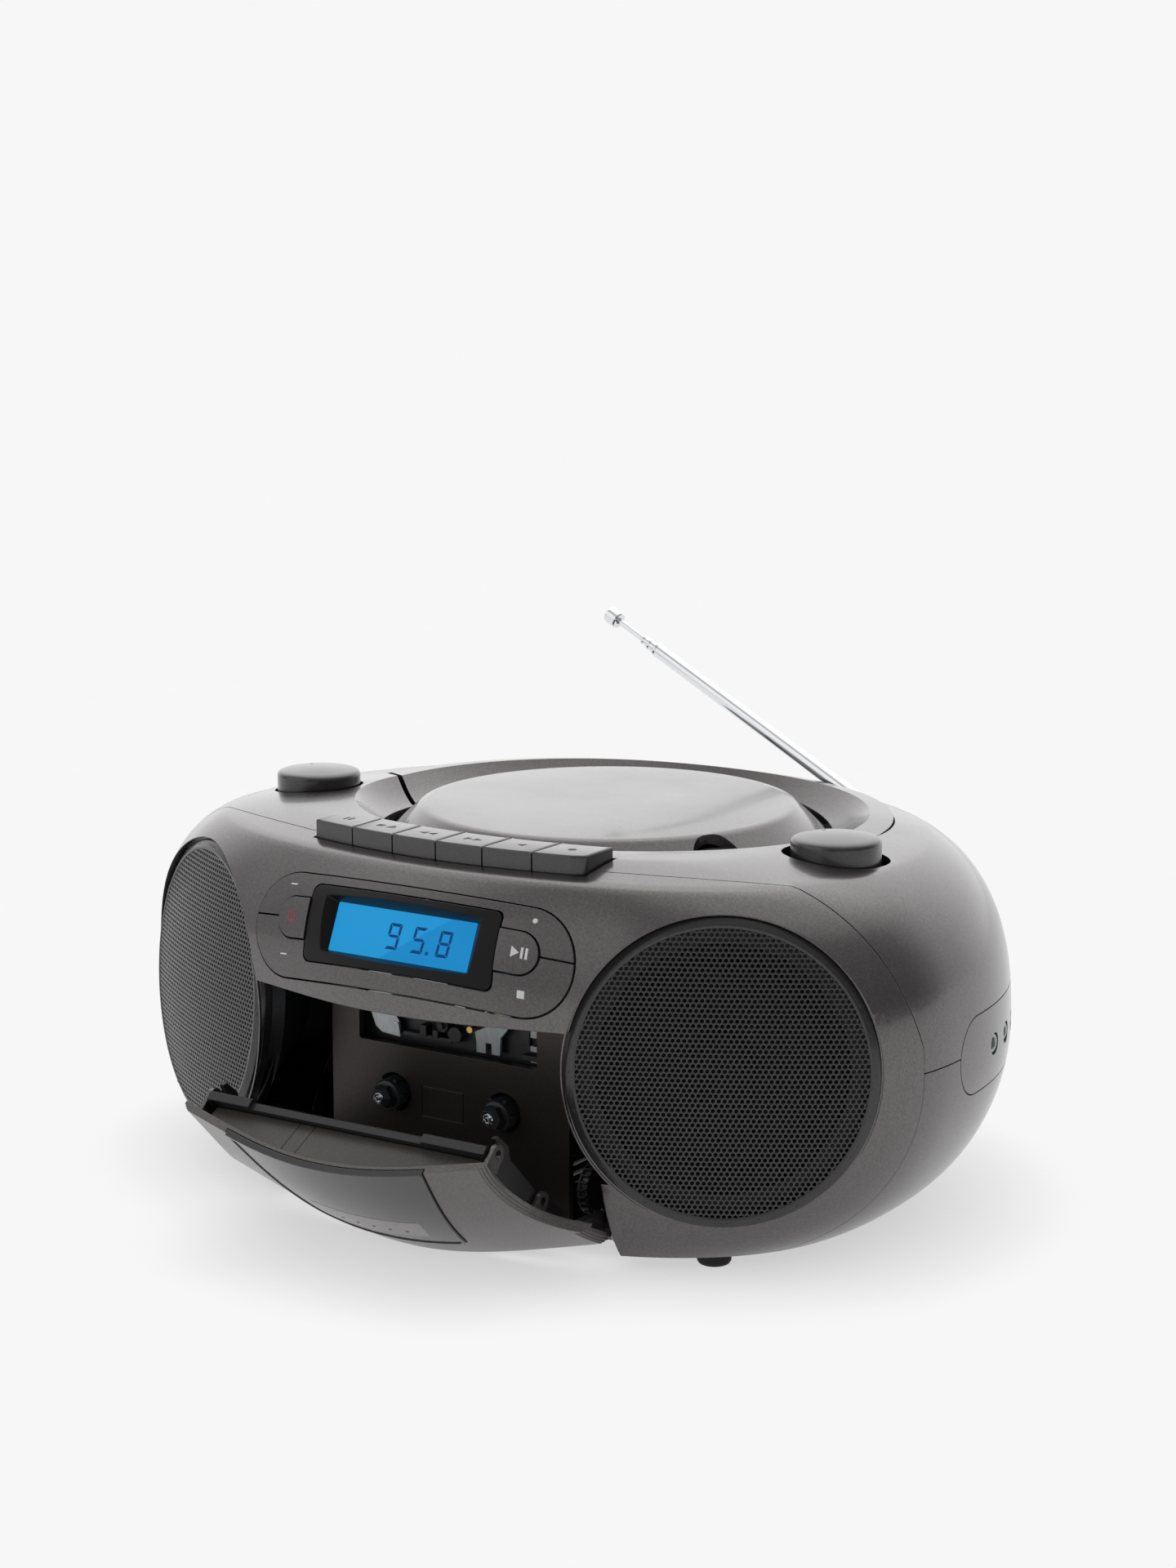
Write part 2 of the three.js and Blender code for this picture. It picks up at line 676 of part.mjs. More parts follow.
function antennaBase() {
  const profile = [[0, 2], [1.9, 2], [1.9, 8], [2.6, 8], [2.6, 14], [0, 14]];
  const root = turned(alongAntenna, profile, [0, 0, 0], 16);
  const eye = rod(alongY, 3, 3.6, [0, 0, 0], 20);
  const body = join(root, antennaTube(2.6, 2.3, 13, 130.5), eye);
  return cut(body, rod(alongY, 1.35, 10, [0, 0, 0], 16));
}

function antennaTip() {
  const stem = [[0, 40], [1.1, 40], [1.1, 149.6], [3, 149.6], [3.1, 154.4], [2.6, 155.2], [0, 155.2]];
  return turned(alongAntenna, stem, [0, 0, 0], 20);
}

// ---- Cassette mechanism -------------------------------------------------

function deckPlate() {
  const plate = box([-46, DECK_Y, 9], [46, DECK_Y + 2.5, 92]);
  const window = box([-35, DECK_Y - 5, 57.6], [34, DECK_Y + 5, 88]);
  const holes = [-REEL_X, REEL_X].map((x) => rod(alongY, 6.4, 20, [x, DECK_Y, REEL_Z], 24));
  const feet = box([-40, DECK_Y, 7.9], [40, DECK_Y + 14, 10.4]);
  return cut(join(plate, feet), window, ...holes);
}

// Turns a piece built along +Y to point at the front, and takes it to its axis.
const facingFront = (piece, x, z) => piece.rotate([0, 0, 180]).translate([x, 0, z]);

function reelHub(x) {
  const profile = [[0, 79], [10, 79], [10, 80.4], [5.4, 80.4], [5.4, 89], [3.6, 91], [3.6, 92.4],
    [1.6, 92.4], [1.6, 94.6], [0, 94.6]];
  const hub = turned(alongY, profile, [0, 0, 0], 18);
  const splines = [0, 60, 120, 180, 240, 300].map((turn) =>
    box([4.8, 81, -0.7], [6.1, 88, 0.7]).rotate([0, turn, 0]),
  );
  return facingFront(join(hub, ...splines), x, REEL_Z);
}

function headBridge() {
  const plate = box([-32, -80.8, 61], [31, -79.6, 88]);
  const gaps = [
    box([-24, -90, 55], [-14, -70, 66]),
    box([5, -90, 55], [26, -70, 78]),
    box([-7, -90, 55], [4, -70, 64]),
  ];
  return cut(plate, ...gaps);
}

function tapeHead() {
  return box([-6.5, -93, 77.5], [6.5, -81.1, 86.5]);
}

function pinchRoller() {
  const profile = [[0, 81.2], [5.5, 81.2], [5.5, 92.5], [0, 92.5]];
  return facingFront(turned(alongY, profile, [0, 0, 0], 24), CAPSTAN.x + 1, CAPSTAN.z + 10.5);
}

function capstanFlywheel() {
  const profile = [[0, 64], [22, 64], [22, 72], [3, 72], [3, 78.2], [1.1, 78.2], [1.1, 94], [0, 94]];
  return facingFront(turned(alongY, profile, [0, 0, 0], 32), CAPSTAN.x, CAPSTAN.z);
}

const tapeMotor = () => rod(alongY, 14, 24, [MOTOR.x, -50, MOTOR.z]);

function motorPulley() {
  const profile = [[0, 62.4], [1, 62.4], [1, 65.5], [4, 65.5], [4, 70.5], [0, 70.5]];
  return facingFront(turned(alongY, profile, [0, 0, 0], 20), MOTOR.x, MOTOR.z);
}

// A square belt around the flywheel and the motor pulley.
function driveBelt() {
  const dx = MOTOR.x - CAPSTAN.x;
  const dz = MOTOR.z - CAPSTAN.z;
  const heading = Math.atan2(dz, dx);
  const loop = (margin) => {
    const big = 22.4 + margin;
    const small = 4.4 + margin;
    const spread = Math.acos((big - small) / Math.hypot(dx, dz));
    const points = [];
    for (let i = 0; i <= 12; i += 1) {
      const turn = heading + spread + (i / 12) * (2 * Math.PI - 2 * spread);
      points.push([CAPSTAN.x + big * Math.cos(turn), CAPSTAN.z + big * Math.sin(turn)]);
    }
    for (let i = 0; i <= 6; i += 1) {
      const turn = heading - spread + (i / 6) * 2 * spread;
      points.push([MOTOR.x + small * Math.cos(turn), MOTOR.z + small * Math.sin(turn)]);
    }
    return points;
  };
  return cut(acrossY(loop(1.2), BELT_Y - 0.7, BELT_Y + 0.7), acrossY(loop(0), BELT_Y - 2, BELT_Y + 2));
}

// ---- Cassette door, modelled closed -------------------------------------

const DOOR_FOOT_Z = 15;
const LEDGE = { x: 50.4, back: -101, backZ: 70 };

function doorRegion(gap) {
  return clip(
    doorPrism(gap, DOOR_TOP_Z, -FAR, -88),
    box([-FAR, -FAR, DOOR_FOOT_Z], [FAR, FAR, DOOR_TOP_Z]),
  );
}

function doorWindowPrism(gap) {
  const low = 27 - gap;
  const wide = 39.8 + gap;
  const narrow = 27.8 + gap;
  return acrossY([[-narrow, low], [narrow, low], [wide, 90], [-wide, 90]], -FAR, -80);
}

function doorShell() {
  const skin = clip(cut(outer, form(3)), doorRegion(0.5));
  const { x, back, backZ } = LEDGE;
  const ledge = acrossX(
    [[-125, DOOR_TOP_Z + 1], [back, backZ], [back, backZ - 3.5], [-125, DOOR_TOP_Z - 3.5]], -x, x);
  const recess = clip(cut(outer, form(1.6)), doorWindowPrism(0.3));
  const lugs = sides.map(({ sign }) => doorLug(sign));
  return join(cut(skin, recess), clip(ledge, doorRegion(0.5), form(1.7)), ...lugs);
}

function doorLug(sign) {
  const low = sign > 0 ? 60.4 : -63.4;
  const side = [[-101, 16], [-101, 27], [-95, 27], [-86, 17.5], [-85.4, 11], [-91.5, 10.4]];
  const arm = acrossX(side, low, low + 3);
  const bore = rod(alongX, 2.1, 150, [0, DOOR_HINGE.y, DOOR_HINGE.z], 16);
  return cut(clip(arm, form(1)), bore);
}

function doorWindow() {
  return clip(cut(form(-0.3), form(1.3)), doorWindowPrism(0), doorRegion(0.5));
}

// The open frame behind the door that the cassette drops into.
function cassetteHolder() {
  const plate = [[-103.8, 14], [-101, 10], [-91, 10], [-91, 11.8], [-100.5, 11.8], [-102.2, 14.6],
    [-102.2, 66], [-103.8, 66]];
  const front = acrossX(plate, -52.6, 52.6);
  const bar = box([-52.6, -100.4, 66], [52.6, -97.9, 69.4]);
  const arms = sides.map(({ sign }) => mirroredBox(sign, [51, -103.8, 10.4], [52.6, -92, 69.4]));
  return clip(join(front, bar, ...arms), form(3.5));
}

function damperGear() {
  const wheel = rod(alongX, 7.5, 3, [56.5, -85, 24], 18);
  const teeth = Array.from({ length: 9 }, (_, i) =>
    box([55, -0.8, 7], [58, 0.8, 8.4]).rotate([40 * i, 0, 0]).translate([0, -85, 24]),
  );
  return join(wheel, ...teeth);
}

function mainsInlet() {
  const block = clip(box([-51.5, 84, 24.5], [-28.5, 104, 41.5]), form(0.8));
  return cut(block, box([-48, 88, 28], [-32, 110, 38]));
}

// ---- Assembly -----------------------------------------------------------

function toMesh(name, piece, material) {
  const { vertProperties, triVerts, numProp, numVert } = piece.getMesh();
  const positions = new Float32Array(numVert * 3);
  for (let i = 0; i < numVert; i += 1) {
    positions.set(vertProperties.subarray(i * numProp, i * numProp + 3), i * 3);
  }
  const g = new THREE.BufferGeometry();
  g.setAttribute("position", new THREE.BufferAttribute(positions, 3));
  g.setIndex(new THREE.BufferAttribute(triVerts, 1));
  g.computeVertexNormals();
  const mesh = new THREE.Mesh(g, material);
  mesh.name = name;
  return mesh;
}

const player = new THREE.Group();
const add = (name, piece, material) => player.add(toMesh(name, piece, material));

add("front_fascia", frontFascia(), GUNMETAL);
add("top_cabinet", topCabinet(), GUNMETAL);
add("bottom_cabinet", bottomCabinet(), GUNMETAL);
add("battery_door", batteryDoor(), GUNMETAL);
add("jack_panel", jackPanel(), GUNMETAL);

for (const { name, sign } of sides) {
  add(`speaker_grille_${name}`, speakerGrille(sign), MESH_BLACK);
  add(`speaker_cone_${name}`, speakerCone(sign), PAPER);
  add(`speaker_frame_${name}`, speakerFrame(sign), BLACK);
}

add("display_bezel", displayBezel(), GLOSS_BLACK);
add("display_panel", displayPanel(), DISPLAY_BLUE);
add("upper_rocker", rocker(1), GUNMETAL);
add("lower_rocker", rocker(-1), GUNMETAL);
add("mode_button", sideButton(-1), GUNMETAL);
add("play_button", sideButton(1), GUNMETAL);

KEY_NAMES.forEach((name, i) => add(`key_${name}`, pianoKey(i), CHARCOAL));
add("key_shaft", rod(alongX, 1.2, 114, [0, KEY_PIVOT.y, KEY_PIVOT.z], 12), STEEL);

add("volume_knob", knob(-1), CHARCOAL);
add("tuning_knob", knob(1), CHARCOAL);
add("carry_handle", carryHandle(), GUNMETAL);

add("disc_lid", discLid(), GUNMETAL);
add("disc_clamp", discClamp(), BLACK);
add("disc_tray", discTray(), BLACK);
add("disc_hub", discHub(), BLACK);
add("disc_motor", discMotor(), STEEL);
add("optical_pickup", opticalPickup(), BLACK);

add("deck_plate", deckPlate(), DECK_BROWN);
add("reel_left", reelHub(-REEL_X), BLACK);
add("reel_right", reelHub(REEL_X), BLACK);
add("head_bridge", headBridge(), STEEL);
add("tape_head", tapeHead(), STEEL);
add("pinch_roller", pinchRoller(), RUBBER);
add("capstan_flywheel", capstanFlywheel(), BRASS);
add("tape_motor", tapeMotor(), STEEL);
add("motor_pulley", motorPulley(), BRASS);
add("drive_belt", driveBelt(), RUBBER);
add("damper_gear", damperGear(), BLACK);

add("circuit_board", box([-48, -34, 56], [48, 62, 57.6]), BOARD_GREEN);
add("power_transformer", box([-92, 4, 8.2], [-64, 34, 44]), STEEL);
add("mains_inlet", mainsInlet(), BLACK);

const FEET = { front_left: [-88, -66], front_right: [88, -66], rear_left: [-80, 62], rear_right: [80, 62] };
for (const [name, [x, y]] of Object.entries(FEET)) {
  const profile = [[0, 0], [4.8, 0], [5.4, 1], [5.4, 4.6], [0, 4.6]];
  add(`foot_${name}`, turned(alongZ, profile, [x, y, 0], 20), RUBBER);
}

// The door's pieces are modelled closed and turn together about the hinge.
const doorPieces = [
  toMesh("cassette_door", doorShell(), GUNMETAL),
  toMesh("door_window", doorWindow(), GLOSS_BLACK),
  toMesh("cassette_holder", cassetteHolder(), BLACK),
];
const door = new THREE.Group();
door.position.set(0, DOOR_HINGE.y, DOOR_HINGE.z);
door.rotation.x = deg(DOOR_OPEN);
for (const piece of doorPieces) {
  piece.position.set(0, -DOOR_HINGE.y, -DOOR_HINGE.z);
  door.add(piece);
}
player.add(door);

// The swivel turns the antenna to the rear, and the sections along -X lift about its pin.
const antenna = new THREE.Group();
antenna.position.set(ANTENNA.x, ANTENNA.y, ANTENNA.z);
antenna.rotation.z = deg(-ANTENNA.yaw);
antenna.add(toMesh("antenna_swivel", antennaSwivel(), CHROME));
const sections = new THREE.Group();
sections.rotation.y = deg(ANTENNA.lift);
sections.add(toMesh("antenna_base", antennaBase(), CHROME));
sections.add(toMesh("antenna_middle", antennaTube(2.15, 1.85, 20, 134), CHROME));
sections.add(toMesh("antenna_inner", antennaTube(1.7, 1.35, 30, 137.2), CHROME));
sections.add(toMesh("antenna_tip", antennaTip(), CHROME));
antenna.add(sections);
player.add(antenna);

player.position.y = ORIGIN_SHIFT;

export default player;
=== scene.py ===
"""Looks of a portable cassette and disc player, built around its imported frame.

The geometry is in millimetres, measured from the middle of the cabinet. A piece becomes
metres and moves back to the shared origin when it is made into an object.
"""

import math

import bpy
import numpy as np
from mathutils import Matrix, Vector


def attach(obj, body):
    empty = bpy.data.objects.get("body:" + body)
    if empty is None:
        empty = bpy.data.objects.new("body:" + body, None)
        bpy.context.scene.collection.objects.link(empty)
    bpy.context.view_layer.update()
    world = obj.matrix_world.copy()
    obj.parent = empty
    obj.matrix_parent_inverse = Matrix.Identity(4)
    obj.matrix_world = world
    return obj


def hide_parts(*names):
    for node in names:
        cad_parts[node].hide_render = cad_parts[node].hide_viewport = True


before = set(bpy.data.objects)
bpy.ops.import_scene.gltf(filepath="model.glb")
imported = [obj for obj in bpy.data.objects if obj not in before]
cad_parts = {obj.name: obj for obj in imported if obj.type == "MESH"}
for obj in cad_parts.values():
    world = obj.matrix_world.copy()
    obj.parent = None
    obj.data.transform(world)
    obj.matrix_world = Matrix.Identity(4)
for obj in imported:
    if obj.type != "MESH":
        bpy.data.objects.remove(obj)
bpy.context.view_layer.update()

MM = 0.001
FAR = 400.0
ORIGIN_SHIFT = np.array([0, 21.3, 0])

# ---- Sizes shared with the frame, in millimetres --------------------------

GAP = 0.4
WALL = 2.5
BODY_HALF_WIDTH = 149
BODY_FRONT = 90
BODY_REAR = 130
WIDEST_Y = -20
UNDERSIDE_Z = 5
TOP_Z = 124
MID_Z = 62
PARTING_Z = 64
CROWN_Z = 120.5
SPEAKER_X = 99.4
SPEAKER_Y = -81
SPEAKER_Z = 66.3
SPEAKER_R = 47.8
SPEAKER_YAW = 30
SPEAKER_TILT = 3.8
DOME = 4
HINGE_Y = -89
HINGE_Z = 14
DOOR_OPEN = 45
DOOR_TOP_Z = 76.5
JACK_Z = 62.5
REEL_X = 21.25
REEL_Z = 41.7
DECK_Y = -84
DISC_Y = 9
LID_R = 73.5
BAY_R = 75.8
HANDLE_INNER = 75.4
HANDLE_RX = 98
HANDLE_RY = 86
HANDLE_PIVOT = (19, 116.5)
KNOB_X = 102
KNOB_Y = -17.3
KNOB_R = 14.3
KEY_PITCH = 17.2
KEY_ARC = 223
KEY_FRONT_Y = -89.8
KEY_PIVOT = (-71, 117.5)
ANTENNA = (76, 89, 102.7)
ANTENNA_LIFT = 25.9
ANTENNA_YAW = 7
PANEL_Y = -108.5
PANEL_Z = 100.9
PANEL_LEAN = 23.7
SIDES = (("left", -1), ("right", 1))
SIGNS = (-1, 1)


# ---- Solids: a pair of (vertices, faces) ----------------------------------

def turn_x(angle):
    c, s = math.cos(math.radians(angle)), math.sin(math.radians(angle))
    return np.array([[1, 0, 0], [0, c, -s], [0, s, c]])


def turn_y(angle):
    c, s = math.cos(math.radians(angle)), math.sin(math.radians(angle))
    return np.array([[c, 0, s], [0, 1, 0], [-s, 0, c]])


def turn_z(angle):
    c, s = math.cos(math.radians(angle)), math.sin(math.radians(angle))
    return np.array([[c, -s, 0], [s, c, 0], [0, 0, 1]])


def placed(solid, rotation=None, shift=(0, 0, 0)):
    points, faces = solid
    if rotation is not None:
        points = points @ rotation.T
    return points + np.array(shift, float), faces


def scaled(solid, factors):
    return solid[0] * np.array(factors, float), solid[1]


def loft(rings):
    """Rings of equal length, closed by a cap at each end."""
    count = len(rings[0])
    points = np.vstack(rings)
    faces = []
    for i in range(len(rings) - 1):
        for j in range(count):
            a, b = i * count + j, i * count + (j + 1) % count
            faces.append((a, b, b + count, a + count))
    last = (len(rings) - 1) * count
    faces.append(tuple(range(count - 1, -1, -1)))
    faces.append(tuple(range(last, last + count)))
    return points, faces


def anticlockwise(outline):
    p = np.array(outline, float)
    x, y = p[:, 0], p[:, 1]
    return p[::-1] if np.sum(x * np.roll(y, -1) - np.roll(x, -1) * y) < 0 else p


def prism(plan, low, high):
    """A closed outline raised along Z. The outline may run either way round."""
    p = anticlockwise(plan)
    keep = [i for i in range(len(p)) if np.linalg.norm(p[i] - p[i - 1]) > 1e-6]
    p = p[keep]
    ring = lambda z: np.column_stack([p, np.full(len(p), float(z))])
    return loft([ring(low), ring(high)])


def across_x(points, low, high):
    """An outline of (y, z) points carried along X."""
    v, f = prism(points, low, high)
    return v[:, [2, 0, 1]], f


def across_y(points, low, high):
    """An outline of (x, z) points carried along Y."""
    v, f = prism([(z, x) for x, z in points], low, high)
    return v[:, [1, 2, 0]], f


def box(low, high):
    (x0, y0, z0), (x1, y1, z1) = low, high
    return prism([(x0, y0), (x1, y0), (x1, y1), (x0, y1)], z0, z1)


def side_box(sign, low, high):
    (x0, y0, z0), (x1, y1, z1) = low, high
    if sign < 0:
        x0, x1 = -x1, -x0
    return box((x0, y0, z0), (x1, y1, z1))


AXIS_TURN = {"x": turn_y(90), "y": turn_x(-90), "z": np.eye(3)}


def turned(axis, profile, centre=(0, 0, 0), count=96):
    """A solid of revolution. The profile lists (radius, height) and ends on the axis or on itself."""
    closed = profile[0] == profile[-1]
    p = anticlockwise(profile[:-1] if closed else profile)
    angles = 2 * np.pi * np.arange(count) / count
    points, starts = [], []
    for r, h in p:
        starts.append(len(points))
        if r < 1e-6:
            points.append((0, 0, h))
        else:
            points += [(r * math.cos(a), r * math.sin(a), h) for a in angles]
    faces = []
    size = len(p)
    for i in range(size if closed else size - 1):
        k = (i + 1) % size
        (r0, _), (r1, _) = p[i], p[k]
        a, b = starts[i], starts[k]
        for j in range(count):
            n = (j + 1) % count
            if r0 < 1e-6 and r1 < 1e-6:
                continue
            if r0 < 1e-6:
                faces.append((a, b + n, b + j))
            elif r1 < 1e-6:
                faces.append((a + j, a + n, b))
            else:
                faces.append((a + j, a + n, b + n, b + j))
    return placed((np.array(points), faces), AXIS_TURN[axis], centre)


def rod(axis, radius, length, centre, count=64):
    h = length / 2
    return turned(axis, [(0, -h), (radius, -h), (radius, h), (0, h)], centre, count)


def round_rod(axis, radius, length, centre, edge=0.4, count=64):
    """A rod whose two rims are rounded."""
    h = length / 2
    top = [(0, h)] + [(radius - edge + edge * math.sin(t), h - edge + edge * math.cos(t))
                      for t in np.linspace(0, math.pi / 2, 4)]
    return turned(axis, top + [(r, -z) for r, z in reversed(top)], centre, count)


def rounded_plan(half_x, half_y, radius, centre=(0, 0)):
    points = []
    for k, (sx, sy) in enumerate([(1, 1), (-1, 1), (-1, -1), (1, -1)]):
        middle = (centre[0] + sx * (half_x - radius), centre[1] + sy * (half_y - radius))
        points += arc(radius, np.radians(90 * k + np.linspace(0, 90, 8)), middle)
    return points


def pill(plan, low, high, edge, steps=4):
    """A prism whose upper rim is rounded. The plan is convex."""
    p = anticlockwise(plan)
    rings = [np.column_stack([p, np.full(len(p), float(low))])]
    ahead = np.roll(p, -1, axis=0) - np.roll(p, 1, axis=0)
    normal = np.column_stack([ahead[:, 1], -ahead[:, 0]])
    normal /= np.maximum(np.linalg.norm(normal, axis=1, keepdims=True), 1e-9)
    for t in np.linspace(0, math.pi / 2, steps):
        inset = edge * (1 - math.cos(t))
        z = high - edge + edge * math.sin(t)
        rings.append(np.column_stack([p - normal * inset, np.full(len(p), z)]))
    return loft(rings)


def mirrored(points):
    return list(points) + [(-x, y) for x, y in reversed(points)]


def arc(radius, turns, centre=(0, 0)):
    """Points on a circle, at angles in radians."""
    return [(centre[0] + radius * math.cos(t), centre[1] + radius * math.sin(t)) for t in turns]


def circle(radius, count, centre=(0, 0)):
    return arc(radius, np.linspace(0, 2 * math.pi, count + 1)[:-1], centre)


# ---- Joining and cutting ---------------------------------------------------

def as_object(solid, name="work"):
    points, faces = solid
    mesh = bpy.data.meshes.new(name)
    mesh.from_pydata([tuple(p) for p in ((points + ORIGIN_SHIFT) * MM)], [], faces)
    mesh.validate()
    mesh.update()
    made = bpy.data.objects.new(name, mesh)
    bpy.context.scene.collection.objects.link(made)
    return made


def reshape(made, change):
    """Moves an object's points, given to change() in millimetres from the cabinet's middle."""
    co = np.zeros(len(made.data.vertices) * 3)
    made.data.vertices.foreach_get("co", co)
    points = change(co.reshape(-1, 3) / MM - ORIGIN_SHIFT)
    made.data.vertices.foreach_set("co", ((points + ORIGIN_SHIFT) * MM).ravel())
    made.data.update()
    return made


def combine(first, operation, others):
    """first joined with, cut by or clipped to each of the others. Solids become objects first."""
    if isinstance(first, tuple):
        first = as_object(first)
    for other in others:
        tool = as_object(other) if isinstance(other, tuple) else other
        step = first.modifiers.new("step", "BOOLEAN")
        step.operation = operation
        step.solver = "MANIFOLD"
        step.object = tool
        bpy.context.view_layer.update()
        ready = first.evaluated_get(bpy.context.evaluated_depsgraph_get())
        mesh = bpy.data.meshes.new_from_object(ready)
        first.modifiers.clear()
        old = first.data
        first.data = mesh
        bpy.data.meshes.remove(old)
        if not tool.get("keep"):
            bpy.data.objects.remove(tool)
    return first


def copy_of(source):
    made = source.copy()
    made.data = source.data.copy()
    if "keep" in made:
        del made["keep"]
    bpy.context.scene.collection.objects.link(made)
    return made


def cut(first, *others):
    return combine(first, "DIFFERENCE", others)


def join(first, *others):
    return combine(first, "UNION", others)


def clip(first, *others):
    return combine(first, "INTERSECT", others)


# ---- Outer form of the cabinet ---------------------------------------------

def draw_in(t, power):
    return 1 - (1 - min(abs(t), 1) ** power) ** (1 / power)


def half_width(z):
    t = (z - MID_Z) / MID_Z
    inset = 50 * draw_in(t, 2.4) if t > 0 else 55 * draw_in(t, 2)
    return BODY_HALF_WIDTH - inset - 5 * max(0, z - CROWN_Z)


def front_depth(z):
    above = max(0, z - 66) / 60
    below = max(0, 66 - z) / 66
    return BODY_FRONT - 19 * above ** 3.2 - 13 * below ** 2.2 - 5 * max(0, z - CROWN_Z)


def rear_depth(z):
    t = (z - MID_Z) / MID_Z
    inset = 28 * draw_in(t, 2.6) if t > 0 else 40 * draw_in(t, 2)
    return BODY_REAR - inset - 3 * max(0, z - CROWN_Z)


FORM_COLUMNS = 240


def form(margin):
    """The cabinet's outer form drawn in by a margin."""
    low, high = UNDERSIDE_Z + margin, TOP_Z - margin
    heights = [*np.linspace(5, 20, 10), *np.linspace(22, 100, 22), *np.linspace(102, 120, 14)]
    heights += [120.6, 121.2, 121.8, 122.4, 122.9, 123.3, 123.6, 123.8, 123.93, 124]
    turns = 2 * np.pi * (np.arange(FORM_COLUMNS) + 0.5) / FORM_COLUMNS
    c, s = np.cos(turns), np.sin(turns)
    rings = []
    for z in heights:
        front = s < 0
        power = np.where(front, 2.4, 2.2)
        depth = np.where(front, front_depth(z), rear_depth(z)) - margin
        x = np.sign(c) * (half_width(z) - margin) * np.abs(c) ** (2 / power)
        y = WIDEST_Y + np.sign(s) * depth * np.abs(s) ** (2 / power)
        fade = min(1, max(0, (121 - z) / 11))
        swell = np.where(np.abs(x) < 70, 7 * fade * np.cos(np.pi * x / 140) ** 2, 0)
        y = np.where(front, y - swell, y)
        share = (z - UNDERSIDE_Z) / (TOP_Z - UNDERSIDE_Z)
        fall = 0.015 * np.maximum(0, y + 60) * min(1, max(0, (z - 80) / 40))
        rings.append(np.column_stack([x, y, low + share * (high - low) - fall]))
    return loft(rings)


def kept(made):
    """Marks an object that stays when it has served as a tool."""
    made["keep"] = True
    return made


outer = kept(as_object(form(0)))
inner = kept(as_object(form(WALL)))
shell = kept(cut(copy_of(outer), inner))


# ---- Places ------------------------------------------------------------------

def to_speaker(solid, sign):
    rotation = turn_z(sign * SPEAKER_YAW) @ turn_x(90 - SPEAKER_TILT)
    return placed(solid, rotation, (sign * SPEAKER_X, SPEAKER_Y, SPEAKER_Z))


PANEL_TURN = turn_x(90 - PANEL_LEAN)


def to_panel(solid):
    return placed(solid, PANEL_TURN, (0, PANEL_Y, PANEL_Z))


def turned_about(made, centre, rotation):
    return reshape(made, lambda points: (points - centre) @ rotation.T + centre)


def open_door(made):
    """Turns a piece modelled with the door closed to where the open door is."""
    return turned_about(made, np.array([0, HINGE_Y, HINGE_Z]), turn_x(DOOR_OPEN))


# ---- Openings ----------------------------------------------------------------

def door_half_width(z, gap):
    if z < 31:
        return 67.5 - gap
    reach = SPEAKER_R + 1.2
    rise = (z - SPEAKER_Z) / reach
    across = reach * math.cos(math.radians(SPEAKER_YAW)) * math.sqrt(1 - rise * rise)
    return SPEAKER_X - across - gap


def door_prism(gap, top, low, high, foot=4):
    heights = [foot, 20, 26, 30, 30.99] + list(np.linspace(31, top, 40))
    right = [(door_half_width(z, gap), z) for z in heights]
    return across_y(right + [(-x, z) for x, z in reversed(right)], low, high)


def seam_front(gap):
    """Everything in front of the seam between the fascia and the cabinets."""
    bend = [(0, -84.5), (20, -83.4), (40, -81.2), (58, -78.2), (74, -73.2), (90, -67), (104, -60.4),
            (116, -54.3), (FAR, 62.2)]
    right = [(x, y + gap) for x, y in bend] + [(FAR, -FAR)]
    region = prism(mirrored(right), -FAR, FAR)
    edge = lambda z: -18 - 0.33 * z + gap
    side = across_x([(-FAR, -20), (edge(-20), -20), (edge(160), 160), (-FAR, 160)], -FAR, FAR)
    return clip(region, side)


def handle_plan(gap, end_gap):
    end = lambda x: 3 - end_gap + (x - 74) * 2 / 3
    rx, ry = HANDLE_RX + gap, HANDLE_RY + gap
    points = [(0, DISC_Y + ry)]
    points += [(rx * math.cos(a), DISC_Y + ry * math.sin(a)) for a in np.radians(np.arange(87, 8, -3))]
    points += [(rx - 0.4, end(rx - 0.4)), (70, end(70))]
    return mirrored(points)


def around_bay(profile):
    """A profile turned around the disc bay, a little shallower to the front and rear, and tipped back."""
    bowl = scaled(turned("z", profile, count=192), (1, 0.88, 1))
    return placed(bowl, turn_x(-2), (0, DISC_Y, 124.5))


def cove():
    """The hollow that sweeps around the disc bay and up onto the handle."""
    return around_bay([(0, -10), (75.8, -10), (77.5, -9.6), (79, -9), (81, -8), (83, -6.8), (85, -5.3),
                       (87, -3.6), (89, -1.9), (91, 0), (93.5, 2.1), (96, 4.2), (100, 16), (0, 16)])


def cove_wall():
    """The thicker wall that the hollow is sunk into, which keeps the cabinet closed beneath it."""
    wall = around_bay([(0, -12.6), (76, -12.6), (79.5, -11.4), (84, -8.8), (88, -5.6), (93, -1), (97, 2.4),
                       (97, 6), (0, 6)])
    return clip(wall, outer)


def bay():
    return rod("z", BAY_R, 60, (0, DISC_Y, 120), 192)


def key_row_plan(x0, x1, front, back, steps):
    edge = lambda x, depth: KEY_FRONT_Y + KEY_ARC - math.sqrt((KEY_ARC - depth) ** 2 - x * x)
    xs = np.linspace(x0, x1, steps)
    return [(x, edge(x, front)) for x in xs] + [(x, edge(x, back)) for x in xs[::-1]]


def key_slot():
    return prism(key_row_plan(-52.4, 52.4, -0.9, 16.6, 41), 112, 130)


def knob_recess(sign):
    """An oval pocket a little wider than the knob."""
    plan = [((KNOB_R + 1 + 1.9 * abs(math.cos(t)) ** 3) * math.cos(t), (KNOB_R + 1) * math.sin(t))
            for t in np.linspace(0, 2 * math.pi, 97)[:-1]]
    return placed(prism(plan, 116, 132), turn_z(sign * 38), (sign * KNOB_X, KNOB_Y, 0))


